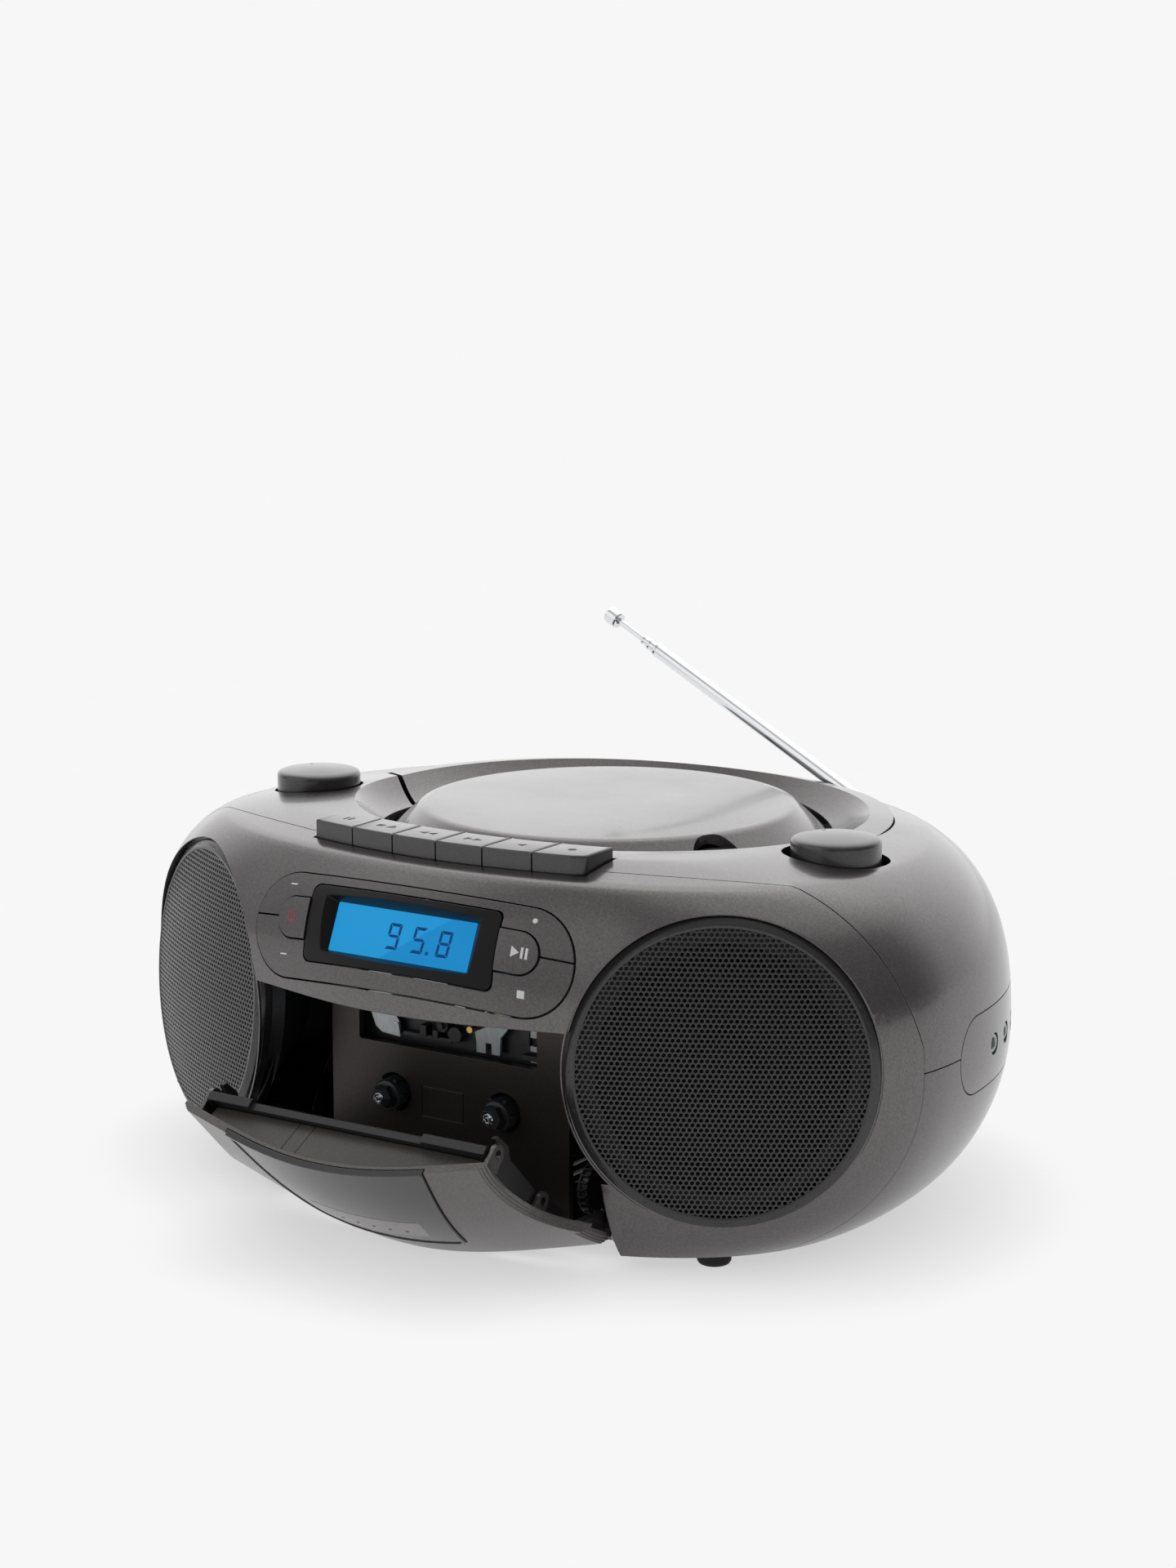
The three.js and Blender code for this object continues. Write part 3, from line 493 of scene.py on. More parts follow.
def jack_prism(gap):
    r = 12.5 + gap
    points = arc(r, np.radians(range(90, 271, 6)), (-8.5, JACK_Z))
    for sign in SIGNS:
        corner = [(41 + gap + 3 * math.sin(t), JACK_Z + sign * (r - 3 + 3 * math.cos(t)))
                  for t in np.linspace(0, math.pi / 2, 6)]
        points += corner[::-sign]
    return across_x(points, 110, 160)


def antenna_walls():
    pocket = join(box((60, 80.5, 91.5), (94, 130, 124)), box((42, 82, 101.5), (64, 130, 124)))
    return clip(pocket, outer)


def antenna_pocket():
    left = box((44, 84.6, 104), (63, 130, 140))
    return join(prism(rounded_plan(15, 23.75, 4, (77, 106.25)), 94, 140), left)


def through_panel(plan):
    """An outline on the control panel, carried right through it."""
    return to_panel(prism(plan, -14, 20))


def panel_prism(gap):
    return through_panel(mirrored(arc(17 - gap, np.radians(range(-90, 91, 5)), (44, -1.3))))


def bezel_prism(gap):
    return through_panel(rounded_plan(35.7 + gap, 12 + gap, 2.6))


def side_button_prism(sign, gap):
    r = 6.4 + gap
    points = [(34 - gap, -r), (34 - gap, r)] + arc(r, np.radians(range(90, -91, -6)), (43, 0))
    return through_panel([(sign * x, y + 0.8) for x, y in points])


# ---- Finishing a piece -------------------------------------------------------


def piece(solid, name, body, material, node=None, sharp=32):
    """Names a piece, shades it, ties it to its body and hides the CAD node it stands for."""
    made = as_object(solid) if isinstance(solid, tuple) else solid
    made.name = name
    made.data.name = name
    if "keep" in made:
        del made["keep"]
    made.data.materials.clear()
    made.data.materials.append(material)
    made.data.shade_smooth()
    if sharp:
        made.data.set_sharp_from_angle(angle=math.radians(sharp))
    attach(made, body)
    if node:
        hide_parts(node)


def merged(solids):
    """Several solids as one, without joining their surfaces."""
    points, faces, start = [], [], 0
    for v, f in solids:
        points.append(v)
        faces += [tuple(i + start for i in face) for face in f]
        start += len(v)
    return np.vstack(points), faces


# ---- Casings -------------------------------------------------------------------

RIM_R = 51.6


def speaker_rim(sign):
    """The flat ring that frames a grille."""
    ring = turned("z", [(44.5, -3.8), (RIM_R, -3.8), (RIM_R, 0.9), (RIM_R - 0.8, 1.6), (44.5, 1.6),
                        (44.5, -3.8)], count=160)
    return to_speaker(ring, sign)


def front_fascia():
    band = clip(copy_of(shell), seam_front(0))
    for sign in SIGNS:
        band = join(band, clip(speaker_rim(sign), outer))
        hole = to_speaker(rod("z", SPEAKER_R + 0.6, 60, (0, 0, 29.2), 160), sign)
        band = cut(band, hole, to_speaker(rod("z", 45.6, 60, (0, 0, 6), 160), sign))
    lower_edge = door_prism(-0.8, DOOR_TOP_Z + 1.5, -FAR, -60)
    band = cut(band, key_slot(), lower_edge, panel_prism(0))
    return band


def top_cabinet():
    half = clip(copy_of(shell), box((-FAR, -FAR, PARTING_Z + GAP / 2), (FAR, FAR, FAR)))
    half = cut(half, seam_front(GAP))
    floor = clip(prism(handle_plan(2.6, 6), 101.5, TOP_Z), outer)
    cups = [clip(rod("z", KNOB_R + 4.4, 9, (s * KNOB_X, KNOB_Y, 118.5)), outer) for s in SIGNS]
    ribs = [clip(side_box(s, (54.5, -75, 113), (57.5, -67.5, 123)), outer) for s in SIGNS]
    half = join(half, cove_wall(), floor, antenna_walls(), *cups, *ribs)
    room = [side_box(s, (73, -1.5, 95), (97.5, 31, 110)) for s in SIGNS]
    bores = [rod("x", 1.4, 130, (0, *KEY_PIVOT), 24), rod("x", 2.3, 206, (0, *HANDLE_PIVOT), 24)]
    bores += [rod("z", 3.4, 40, (s * KNOB_X, KNOB_Y, 115), 24) for s in SIGNS]
    half = cut(half, bay(), cove(), prism(handle_plan(0.5, 2.6), 104, TOP_Z + 10), *room,
               key_slot(), *bores, antenna_pocket(), jack_prism(GAP),
               *[knob_recess(s) for s in SIGNS])
    return half


def bottom_cabinet():
    half = clip(copy_of(shell), box((-FAR, -FAR, -FAR), (FAR, FAR, PARTING_Z - GAP / 2)))
    half = cut(half, seam_front(GAP))
    side = [(-70, 5.6), (-70, 18), (-88, 18), (-90.7, 15.6), (-90.7, 12), (-84, 5.6)]
    for sign in SIGNS:
        low = 64.4 if sign > 0 else -67
        arm = across_x(side, low, low + 2.6)
        pin = rod("x", 1.8, 6.4, (sign * 62.2, HINGE_Y, HINGE_Z), 32)
        half = join(half, arm, pin)
    half = cut(half, box((-58 - GAP, 18 - GAP, 0), (58 + GAP, 78 + GAP, 20)),
               box((-52, 70, 24), (-28, FAR, 42)), jack_prism(GAP))
    wells = [rod("z", 3.2, 3, (x, y, UNDERSIDE_Z + 0.2), 40)
             for x, y in ((-104, 8), (104, 8), (-52, -60), (52, -60), (-46, 88), (46, 88))]
    slots = [box((-34 + 6 * i, -42, 0), (-31.6 + 6 * i, -12, UNDERSIDE_Z + 6)) for i in range(12)]
    return cut(half, *wells, *slots)


def jack_panel():
    plate = clip(copy_of(shell), jack_prism(0))
    return cut(plate, *[rod("x", 3.6, 60, (140, y, JACK_Z), 48) for y in (6, 20.5, 35)])


def jack_rings():
    """A metal collar with a contact ring in each socket, turned as one piece."""
    rings = []
    for y, x in ((6, 145.4), (20.5, 141.8), (35, 136.1)):
        rings.append(turned("x", [(3.5, -7), (3.5, 0.4), (2.9, 0.9), (2, 0.9), (1.8, 0.4), (1.8, -7),
                                  (3.5, -7)], (x, y, JACK_Z), 40))
    return merged(rings)


def battery_door():
    plate = pill(rounded_plan(58, 30, 1.5), 0, 2.2, 0.4)
    plate = placed(plate, turn_x(180), (0, 48, UNDERSIDE_Z + 2.4))
    grips = [box((-14 + 4 * i, 24, 4), (-12.4 + 4 * i, 30, 5.8)) for i in range(8)]
    return cut(plate, *grips)


# ---- Speakers --------------------------------------------------------------------

HOLE_PITCH = 1.75
HOLE_R = 0.69
MESH_REACH = 45.6


def grille_height(x, y):
    return DOME * (1 - (x * x + y * y) / SPEAKER_R ** 2)


def grille_mesh(sign):
    """Perforated sheet: a hexagon of metal around each hole, bent to a shallow dome."""
    corner = HOLE_PITCH / math.sqrt(3)
    index, points, faces = {}, [], []

    def point(x, y, lift):
        key = (round(x, 3), round(y, 3), lift)
        if key not in index:
            index[key] = len(points)
            points.append((x, y, grille_height(x, y) + lift))
        return index[key]

    rows = int(MESH_REACH / (HOLE_PITCH * math.sqrt(3) / 2)) + 1
    for row in range(-rows, rows + 1):
        cy = row * HOLE_PITCH * math.sqrt(3) / 2
        shift = HOLE_PITCH / 2 if row % 2 else 0
        for column in range(-30, 31):
            cx = column * HOLE_PITCH + shift
            if math.hypot(cx, cy) > MESH_REACH:
                continue
            turns = [math.radians(30 + 60 * k) for k in range(6)]
            out = [(cx + corner * math.cos(t), cy + corner * math.sin(t)) for t in turns]
            hole = [(cx + HOLE_R * math.cos(t), cy + HOLE_R * math.sin(t)) for t in turns]
            upper = [point(*p, 1.2) for p in out]
            lower = [point(*p, 0.5) for p in out]
            top = [point(*p, 1.2) for p in hole]
            low = [point(*p, 0.5) for p in hole]
            for k in range(6):
                n = (k + 1) % 6
                faces.append((upper[k], upper[n], top[n], top[k]))
                faces.append((lower[n], lower[k], low[k], low[n]))
                faces.append((top[k], top[n], low[n], low[k]))
                mx = (out[k][0] + out[n][0]) - cx
                my = (out[k][1] + out[n][1]) - cy
                if math.hypot(mx, my) > MESH_REACH:
                    faces.append((upper[n], upper[k], lower[k], lower[n]))
    return to_speaker((np.array(points), faces), sign)


def grille_rim(sign):
    """The folded edge of the perforated sheet."""
    edge = [(44.4, grille_height(44.4, 0) + 0.4), (44.4, grille_height(44.4, 0) + 1.25),
           (45.2, grille_height(45.2, 0) + 1.45), (46.6, 1.15), (47.5, 0.55), (47.8, -0.4), (47.8, -1.0),
           (46.4, -1.0), (46.0, 0.2), (44.4, grille_height(44.4, 0) + 0.4)]
    return to_speaker(turned("z", edge, count=160), sign)


def speaker_cone(sign):
    """Cone with a dust cap, a rolled surround and the basket's front ring."""
    roll = [(31 + 3.2 * t, -7.2 + 2.4 * math.sin(math.pi * t)) for t in np.linspace(0, 1, 9)]
    cap = [(9.6 * math.sin(t), -16.6 + 5.2 * math.cos(t)) for t in np.linspace(0, math.pi / 2, 10)]
    front = cap + [(10.2, -17)] + [(10.2 + 20.8 * t, -17 + 9.8 * t ** 0.85) for t in np.linspace(0.1, 0.95,
                                                                                                 8)]
    front += roll + [(36, -7), (38, -7)]
    profile = front + [(38, -8.5), (34, -8.6), (30.5, -8.8), (9, -20), (0, -20)]
    return to_speaker(turned("z", profile, count=96), sign)


def speaker_frame(sign):
    profile = [(38.6, -4.5), (45, -4.5), (45, -9), (40, -11), (24, -26), (22, -26.5), (22, -42), (0, -42),
               (0, -24), (12, -24), (38.6, -9.5), (38.6, -4.5)]
    return to_speaker(turned("z", profile, count=96), sign)


# ---- Control panel -----------------------------------------------------------------

PANEL_RISE = -0.3  # how far the panel and the buttons stand out from the cabinet, as a margin
BUTTON_RISE = -0.75

panel_layer = kept(cut(form(PANEL_RISE), form(2)))
button_layer = kept(cut(form(BUTTON_RISE), form(2)))


def display_bezel():
    frame_piece = clip(copy_of(panel_layer), bezel_prism(0))
    wide = rounded_plan(32.4, 10.1, 1.2)
    tight = rounded_plan(26.6, 7.8, 0.5)
    ring = lambda plan, z: np.column_stack([np.array(plan), np.full(len(plan), float(z))])
    well = loft([ring(tight, -12), ring(tight, -0.8), ring(wide, 4.9), ring(wide, 20)])
    floor = to_panel(prism(rounded_plan(32.8, 10.4, 1.2), -1.8, 4.9))
    floor = clip(floor, form(1))
    return cut(join(frame_piece, floor), to_panel(well))


def display_panel():
    return to_panel(pill(rounded_plan(28.9, 9.9, 0.8), -4, -1.2, 0.3))


SEGMENTS = {
    "a": [(0.6, 9.8), (5.4, 9.8), (4.4, 8.7), (1.6, 8.7)],
    "b": [(5.6, 9.6), (5.6, 5.3), (4.6, 5.9), (4.6, 8.6)],
    "c": [(5.6, 4.9), (5.6, 0.4), (4.6, 1.4), (4.6, 4.3)],
    "d": [(0.6, 0.2), (5.4, 0.2), (4.4, 1.3), (1.6, 1.3)],
    "e": [(0.4, 4.9), (0.4, 0.4), (1.4, 1.4), (1.4, 4.3)],
    "f": [(0.4, 9.6), (0.4, 5.3), (1.4, 5.9), (1.4, 8.6)],
    "g": [(0.7, 5.1), (1.5, 5.6), (4.5, 5.6), (5.3, 5.1), (4.5, 4.6), (1.5, 4.6)],
}
DIGITS = {"9": "abcdfg", "5": "acdfg", "8": "abcdefg"}


def display_digits():
    """A tuned frequency in seven-segment figures, with a decimal point."""
    shapes = []
    for figure, x in (("9", -6.2), ("5", 3.4), ("8", 13.0)):
        for letter in DIGITS[figure]:
            plan = [(x + 0.88 * px + 0.05 * py, -4.6 + 0.86 * py) for px, py in SEGMENTS[letter]]
            shapes.append(to_panel(prism(plan, -1.25, -1.14)))
    shapes.append(to_panel(prism([(9.7, -4.4), (10.7, -4.4), (10.7, -3.4), (9.7, -3.4)], -1.25, -1.14)))
    return merged(shapes)


def rocker(sign):
    low, high = (1.1, 30) if sign > 0 else (-30, 0.5)
    half = to_panel(box((-70, low, -14), (70, high, 20)))
    ring = clip(copy_of(panel_layer), panel_prism(0.5), half)
    return cut(ring, bezel_prism(0.5), side_button_prism(1, 0.5), side_button_prism(-1, 0.5))


def side_button(sign):
    return cut(clip(copy_of(button_layer), side_button_prism(sign, 0)), bezel_prism(0.5))


def surface_mark(plan, base):
    """A printed mark: a thin slab that follows the panel's surface."""
    mark = clip(form(base - 0.04), through_panel(plan))
    return cut(mark, form(base + 0.3))


def play_pause_plan():
    bars = [[(x, -2), (x + 0.9, -2), (x + 0.9, 2), (x, 2)] for x in (1.2, 2.9)]
    return [[(-2.4, -2), (-2.4, 2), (0.6, 0)]] + bars


def shifted(plan, dx, dy, factor=1.0):
    return [(x * factor + dx, y * factor + dy) for x, y in plan]


def panel_marks():
    """Plain playback symbols: play and pause, a square, a dot and short bars."""
    square = [(-1, -1), (1, -1), (1, 1), (-1, 1)]
    bar = [(-1.5, -0.22), (1.5, -0.22), (1.5, 0.22), (-1.5, 0.22)]
    upper = [shifted(bar, -46, 11.3), shifted(circle(0.8, 16), 46, 11.3)]
    lower = [shifted(bar, -45.6, -10.9), shifted(square, 45.2, -11.2, 1.15)]
    play = [shifted(plan, 43, 0.9, 0.85) for plan in play_pause_plan()]
    return {"upper": upper, "lower": lower, "play": play}


def power_mark():
    """The usual power symbol: a broken ring with a short bar."""
    ring = []
    for r in (1.75, 1.35):
        rim = [(r * math.sin(t), r * math.cos(t)) for t in np.linspace(0.55, 2 * math.pi - 0.55, 25)]
        ring += rim if r > 1.5 else rim[::-1]
    bar = [(-0.2, 0.5), (0.2, 0.5), (0.2, 2.2), (-0.2, 2.2)]
    return [shifted(ring, -43.4, 1.0), shifted(bar, -43.4, 1.0)]


# ---- Piano keys ----------------------------------------------------------------------

KEY_NAMES = ("pause", "stop", "rewind", "forward", "play", "record")
KEY_BOTTOM_Z = 119.8
KEY_CREST_Z = 127.6


def key_edges(index):
    left = (index - 3) * KEY_PITCH + 0.25
    return left, left + KEY_PITCH - 0.5


def piano_key(index):
    left, right = key_edges(index)
    middle = (left + right) / 2
    plan = key_row_plan(left, right, 0, 15.8, 15)
    if index == 5:
        corner = [(right - 2.6 + 2.6 * math.sin(t), plan[14][1] + 2.6 - 2.6 * math.cos(t))
                  for t in np.linspace(0.15, math.pi / 2, 7)]
        plan = [p for p in plan[:15] if p[0] < right - 2.6] + corner + plan[15:]
    head = pill(plan, KEY_BOTTOM_Z, KEY_CREST_Z, 0.7, 6)
    arm = box((middle - 5, -76.4, 117.2), (middle + 5, KEY_PIVOT[0], KEY_BOTTOM_Z + 0.6))
    eye = rod("x", 2.6, 10, (middle, *KEY_PIVOT), 32)
    made = cut(join(head, arm, eye), rod("x", 1.5, 130, (0, *KEY_PIVOT), 24))
    return cut(made, *[prism(p, KEY_CREST_Z - 0.3, KEY_CREST_Z + 1) for p in key_symbol(index)])


def key_symbol(index):
    left, right = key_edges(index)
    middle = (left + right) / 2
    back = KEY_FRONT_Y + KEY_ARC - math.sqrt((KEY_ARC - 8) ** 2 - middle ** 2)
    bar = [(-0.5, -1.7), (0.5, -1.7), (0.5, 1.7), (-0.5, 1.7)]
    wedge = [(-1.4, -1.6), (-1.4, 1.6), (1.6, 0)]
    flip = [(-x, y) for x, y in wedge]
    square = [(-1.3, -1.3), (1.3, -1.3), (1.3, 1.3), (-1.3, 1.3)]
    rise = [(-1.8, -0.6), (1.8, -0.6), (0, 1.8)]
    under = [(-1.8, -1.7), (1.8, -1.7), (1.8, -1.1), (-1.8, -1.1)]
    symbols = {
        "pause": [shifted(bar, -1, 0), shifted(bar, 1, 0)],
        "stop": [shifted(square, -2.4, 0), shifted(rise, 2.2, 0), shifted(under, 2.2, 0)],
        "rewind": [shifted(flip, -1.9, 0), shifted(flip, 1.6, 0)],
        "forward": [shifted(wedge, -1.6, 0), shifted(wedge, 1.9, 0)],
        "play": [flip],
        "record": [circle(1.4, 24)],
    }[KEY_NAMES[index]]
    return [shifted(p, middle, back) for p in symbols]


def key_inlay(index):
    return merged([prism(p, KEY_CREST_Z - 0.29, KEY_CREST_Z - 0.12) for p in key_symbol(index)])


# ---- Knobs, lid and handle ---------------------------------------------------------------

def knob(sign):
    profile = [(0, 106), (3, 106), (3, 116.6), (13.9, 116.6), (14.2, 117), (KNOB_R, 118), (KNOB_R, 126.1),
               (14.2, 126.8), (13.9, 127.3), (13.4, 127.6), (12.6, 127.85), (11, 128.05), (8, 128.35),
               (4, 128.62), (0, 128.7)]
    dot = rod("z", 0.7, 2, (sign * KNOB_X - 7.5, KNOB_Y + 5.6, 128.9), 20)
    return cut(turned("z", profile, (sign * KNOB_X, KNOB_Y, 0), 128), dot)


def disc_lid():
    profile = [(0, 121), (6, 121), (6, 118.5), (8, 118.5), (8, 121), (61.8, 121), (70.5, 111.6),
               (73.1, 111.6), (LID_R, 112), (LID_R, 113.2), (73.2, 113.9), (72.4, 114.7), (68.3, 118.6),
               (64.2, 122.4), (63.6, 123), (62.6, 123.5), (60.5, 123.64), (40, 123.68), (0, 123.7)]
    plate = turned("z", profile, (0, DISC_Y, 0), 224)
    knuckles = [rod("x", 2.6, 4, (s * 7.6, 74, 114), 32) for s in SIGNS]
    turn = math.radians(-26.5)
    notch = (72 * math.cos(turn), DISC_Y + 72 * math.sin(turn))
    plate = join(plate, *knuckles)
    return cut(plate, rod("z", 9.5, 24, (*notch, 117), 96), rod("x", 1.3, 24, (0, 74, 114), 24))


def lid_catch():
    """The dark finger hollow under the notch in the lid, with its own rim."""
    turn = math.radians(-26.5)
    x, y = 71.4 * math.cos(turn), DISC_Y + 71.4 * math.sin(turn)
    cup = turned("z", [(0, 105), (8.4, 105), (9.2, 118.6), (8.7, 119), (8.2, 118.6), (7.4, 106.4), (0, 106)],
                 (x, y, 0), 48)
    return clip(cup, rod("z", BAY_R - 0.6, 60, (0, DISC_Y, 120), 192))


def carry_handle():
    """The handle is narrower below its rim, which leaves room for it to swing up."""
    rim = prism(handle_plan(0, 0), 114.6, TOP_Z + 5)
    crown = turned_about(copy_of(outer), np.array((0, *HANDLE_PIVOT)), turn_x(2))
    crescent = clip(join(rim, prism(handle_plan(-3, -1), 107, 115)), crown)
    pins = [rod("x", 2, 14, (s * (HANDLE_RX - 3), *HANDLE_PIVOT), 32) for s in SIGNS]
    crescent = cut(crescent, cove(), rod("z", HANDLE_INNER, 60, (0, DISC_Y, 120), 192))
    return join(crescent, *pins)


def disc_clamp():
    profile = [(0, 111), (14.4, 111), (15, 111.5), (15, 112.6), (14.5, 113), (5.4, 113), (5.4, 120.4),
               (0, 120.4)]
    return turned("z", profile, (0, DISC_Y, 0), 96)


def disc_tray():
    profile = [(0, 99), (64, 99), (64, 107.3), (75.2, 107.3), (75.2, 109.3), (63.2, 109.3), (62.2, 108.6),
               (61.6, 101.6), (61, 101), (0, 101)]
    tray = turned("z", profile, (0, DISC_Y, 0), 192)
    slot = prism(rounded_plan(9, 18.5, 3, (0, -27.5)), 95, 105)
    tray = cut(tray, slot, rod("z", 15.5, 20, (0, DISC_Y, 100), 96), box((-40, 66, 103), (40, 90, 115)))
    bracket = box((-5, 66, 99), (5, 75.5, 114))
    return join(tray, bracket, rod("x", 2, 10, (0, 74, 114), 32), rod("x", 1.1, 19, (0, 74, 114), 24))


def disc_hub():
    profile = [(0, 97.5), (3, 97.5), (3, 101.5), (14.5, 101.5), (14.5, 103.1), (14.1, 103.5), (7.3, 103.5),
               (7.3, 106.5), (6.6, 107.5), (5.5, 108), (0, 108)]
    balls = [placed(turned("z", [(0, -1), (0.7, -0.7), (1, 0), (0.7, 0.7), (0, 1)], (6.7, 0, 105.4), 16),
                    turn_z(120 * k), (0, DISC_Y, 0)) for k in range(3)]
    return join(turned("z", profile, (0, DISC_Y, 0), 96), *balls)


def optical_pickup():
    sled = pill(rounded_plan(7.5, 11, 1, (0, -29)), 92, 100.5, 0.5)
    return join(sled, turned("z", [(0, 99.7), (3.5, 99.7), (3.5, 102.3), (3.1, 102.7), (0, 102.7)],
                             (0, -26, 0), 48))


def pickup_lens():
    return turned("z", [(0, 102.6), (2.1, 102.6), (2.1, 102.8), (1.4, 103.15), (0, 103.3)], (0, -26, 0), 40)


# ---- Antenna, built along -X from its pivot ------------------------------------------------

YAW_TURN = turn_z(-ANTENNA_YAW)
LIFT_TURN = YAW_TURN @ turn_y(ANTENNA_LIFT)


def on_antenna(profile):
    """A solid of revolution along -X, lifted to the antenna's rest angle."""
    along = placed(turned("z", profile, count=48), turn_y(-90))
    return placed(along, LIFT_TURN, ANTENNA)


def antenna_tube(radius, bore, start, end):
    return on_antenna([(bore, start), (radius, start), (radius, end - 2.2), (radius - 0.12, end - 1.9),
                       (radius - 0.12, end - 1.4), (radius, end - 1.1), (radius, end - 0.3),
                       (radius - 0.3, end), (bore, end), (bore, start)])


def antenna_base():
    root = on_antenna([(0, 2), (1.9, 2), (1.9, 7.6), (2.6, 8.2), (2.6, 14), (0, 14)])
    eye = placed(rod("y", 3, 3.6, (0, 0, 0), 48), LIFT_TURN, ANTENNA)
    bore = placed(rod("y", 1.35, 10, (0, 0, 0), 24), LIFT_TURN, ANTENNA)
    return cut(join(root, antenna_tube(2.6, 2.3, 13, 130.5), eye), bore)


def antenna_tip():
    return on_antenna([(0, 40), (1.1, 40), (1.1, 149), (1.6, 149.6), (2.7, 149.7), (3.05, 150.2), (3.1, 154),
                       (2.9, 154.8), (2.4, 155.2), (0, 155.2)])


def antenna_swivel():
    post = turned("z", [(0, -8.3), (3.4, -8.3), (3.6, -8), (3.6, -3.6), (3.3, -3.3), (0, -3.3)], count=48)
    cheeks = []
    for side in (-3, 3):
        plan = [(-3.4, -5), (3.4, -5), (3.4, 0.4)]
        plan += [(3.4 * math.cos(t), 0.4 + 2.6 * math.sin(t)) for t in np.linspace(0.2, math.pi - 0.2, 11)]
        plan += [(-3.4, 0.4)]
        cheeks.append(across_y(plan, side - 0.9, side + 0.9))
    head = turned("y", [(0, 0), (2, 0), (1.7, 0.6), (0, 0.8)], (0, 3.9, 0), 32)
    parts = [post, *cheeks, rod("y", 1.2, 7, (0, 0, 0), 24), head]
    return join(*[placed(p, YAW_TURN, ANTENNA) for p in parts])


# ---- Feet ------------------------------------------------------------------------------------

FEET = {"front_left": (-88, -66), "front_right": (88, -66), "rear_left": (-80, 62), "rear_right": (80, 62)}


def foot(x, y):
    return turned("z", [(0, 0), (4.3, 0), (4.8, 0.25), (5.3, 1), (5.4, 1.4), (5.4, 4.6), (0, 4.6)], (x, y, 0),
                  64)


# ---- Cassette mechanism ------------------------------------------------------------------------

def deck_plate():
    plate = join(box((-46, DECK_Y, 9), (46, DECK_Y + 2.5, 92)),
                 box((-40, DECK_Y, 7.9), (40, DECK_Y + 14, 10.4)))
    opening = across_y(rounded_plan(34.5, 15.2, 0.8, (-0.5, 72.8)), DECK_Y - 5, DECK_Y + 5)
    holes = [rod("y", 6.4, 20, (x, DECK_Y, REEL_Z), 64) for x in (-REEL_X, REEL_X)]
    line = cut(across_y(rounded_plan(8.2, 5.1, 0.5, (-2.2, 40.6)), DECK_Y - 1, DECK_Y + 0.25),
               across_y(rounded_plan(7.85, 4.75, 0.4, (-2.2, 40.6)), DECK_Y - 2, DECK_Y + 2))
    return cut(plate, opening, *holes, line)


def reel_hub(x):
    """A splined spindle with a hexagonal nose, built along +Y and then turned to the front."""
    profile = [(0, 79), (10, 79), (10, 80.4), (6.1, 80.4), (5.7, 80.9), (5.4, 82), (5.1, 87.6), (4.6, 88.4),
               (3.6, 88.8), (0, 88.8)]
    hub = turned("y", profile, count=72)
    splines = [placed(box((4.6, 81, -0.6), (5.9, 87.4, 0.6)), turn_y(60 * k)) for k in range(6)]
    nose = circle(3.9, 6)
    tip = [(0.72 * a, 0.72 * b) for a, b in nose]
    ring = lambda plan, y: np.array([(a, y, b) for a, b in plan[::-1]])
    head = loft([ring(nose, 88), ring(nose, 91.2), ring(tip, 92.6)])
    made = join(hub, *splines, head)
    made = cut(made, rod("y", 2.15, 4, (0, 92, 0), 40))
    return reshape(made, lambda points: points @ turn_z(180).T + np.array([x, 0, REEL_Z]))


def reel_pin(x):
    """The steel pin and its collar at the end of a spindle."""
    profile = [(0, 89), (1.95, 89), (1.95, 92.6), (1.7, 92.9), (1.1, 92.9), (1, 92.5), (0.75, 92.5),
               (0.75, 94.2),
               (0.5, 94.6), (0, 94.6)]
    return placed(turned("y", profile, count=40), turn_z(180), (x, 0, REEL_Z))


BRIDGE_LEFT = [(-33.8, 88), (-33.8, 71.5), (-32.6, 66), (-30.8, 61.6), (-28.2, 59.8), (-21, 59.2),
               (-21.8, 64),
               (-23.4, 66.5), (-24.4, 70), (-24.4, 88)]
BRIDGE_RIGHT = [(0.4, 88), (0.4, 70.2), (3.2, 67.8), (7, 67.4), (8.2, 65.5), (8.8, 62), (8.8, 58.8),
                (12.3, 58.8),
                (12.3, 62.2), (14.6, 62.2), (14.6, 58.8), (17.8, 58.8), (18, 64.5), (20.4, 67.2), (21.8, 70),
                (21.8, 88)]


def head_bridge():
    """The steel plate that carries the tape head, with its two legs and its slots."""
    top = across_y([(-33.8, 80), (21.8, 80), (21.8, 88), (-33.8, 88)], -80.8, -79.6)
    legs = [across_y(plan, -80.8, -79.6) for plan in (BRIDGE_LEFT, BRIDGE_RIGHT)]
    made = join(top, *legs)
    slots = [[(-30.4, 66.6), (-25.6, 66), (-25.6, 67.4), (-27.4, 67.7), (-27.1, 70), (-28.6, 70.2),
              (-28.9, 68),
              (-30.3, 68.2)],
             [(13, 69.4), (17.2, 69.4), (17.2, 72.6), (13, 72.6)],
             [(2.6, 68.6), (6.4, 68.6), (6.4, 71), (2.6, 71)]]
    return cut(made, *[across_y(plan, -90, -70) for plan in slots])


def wire(points, radius):
    """A round wire through a row of points."""
    p = np.array(points, float)
    rings = []
    for i, q in enumerate(p):
        ahead = p[min(i + 1, len(p) - 1)] - p[max(i - 1, 0)]
        ahead /= np.linalg.norm(ahead)
        side = np.cross(ahead, (0, 1, 0))
        side /= np.linalg.norm(side)
        lift = np.cross(ahead, side)
        turns = 2 * np.pi * np.arange(10) / 10
        rings.append(q + radius * (np.outer(np.cos(turns), side) + np.outer(np.sin(turns), lift)))
    return loft(rings)


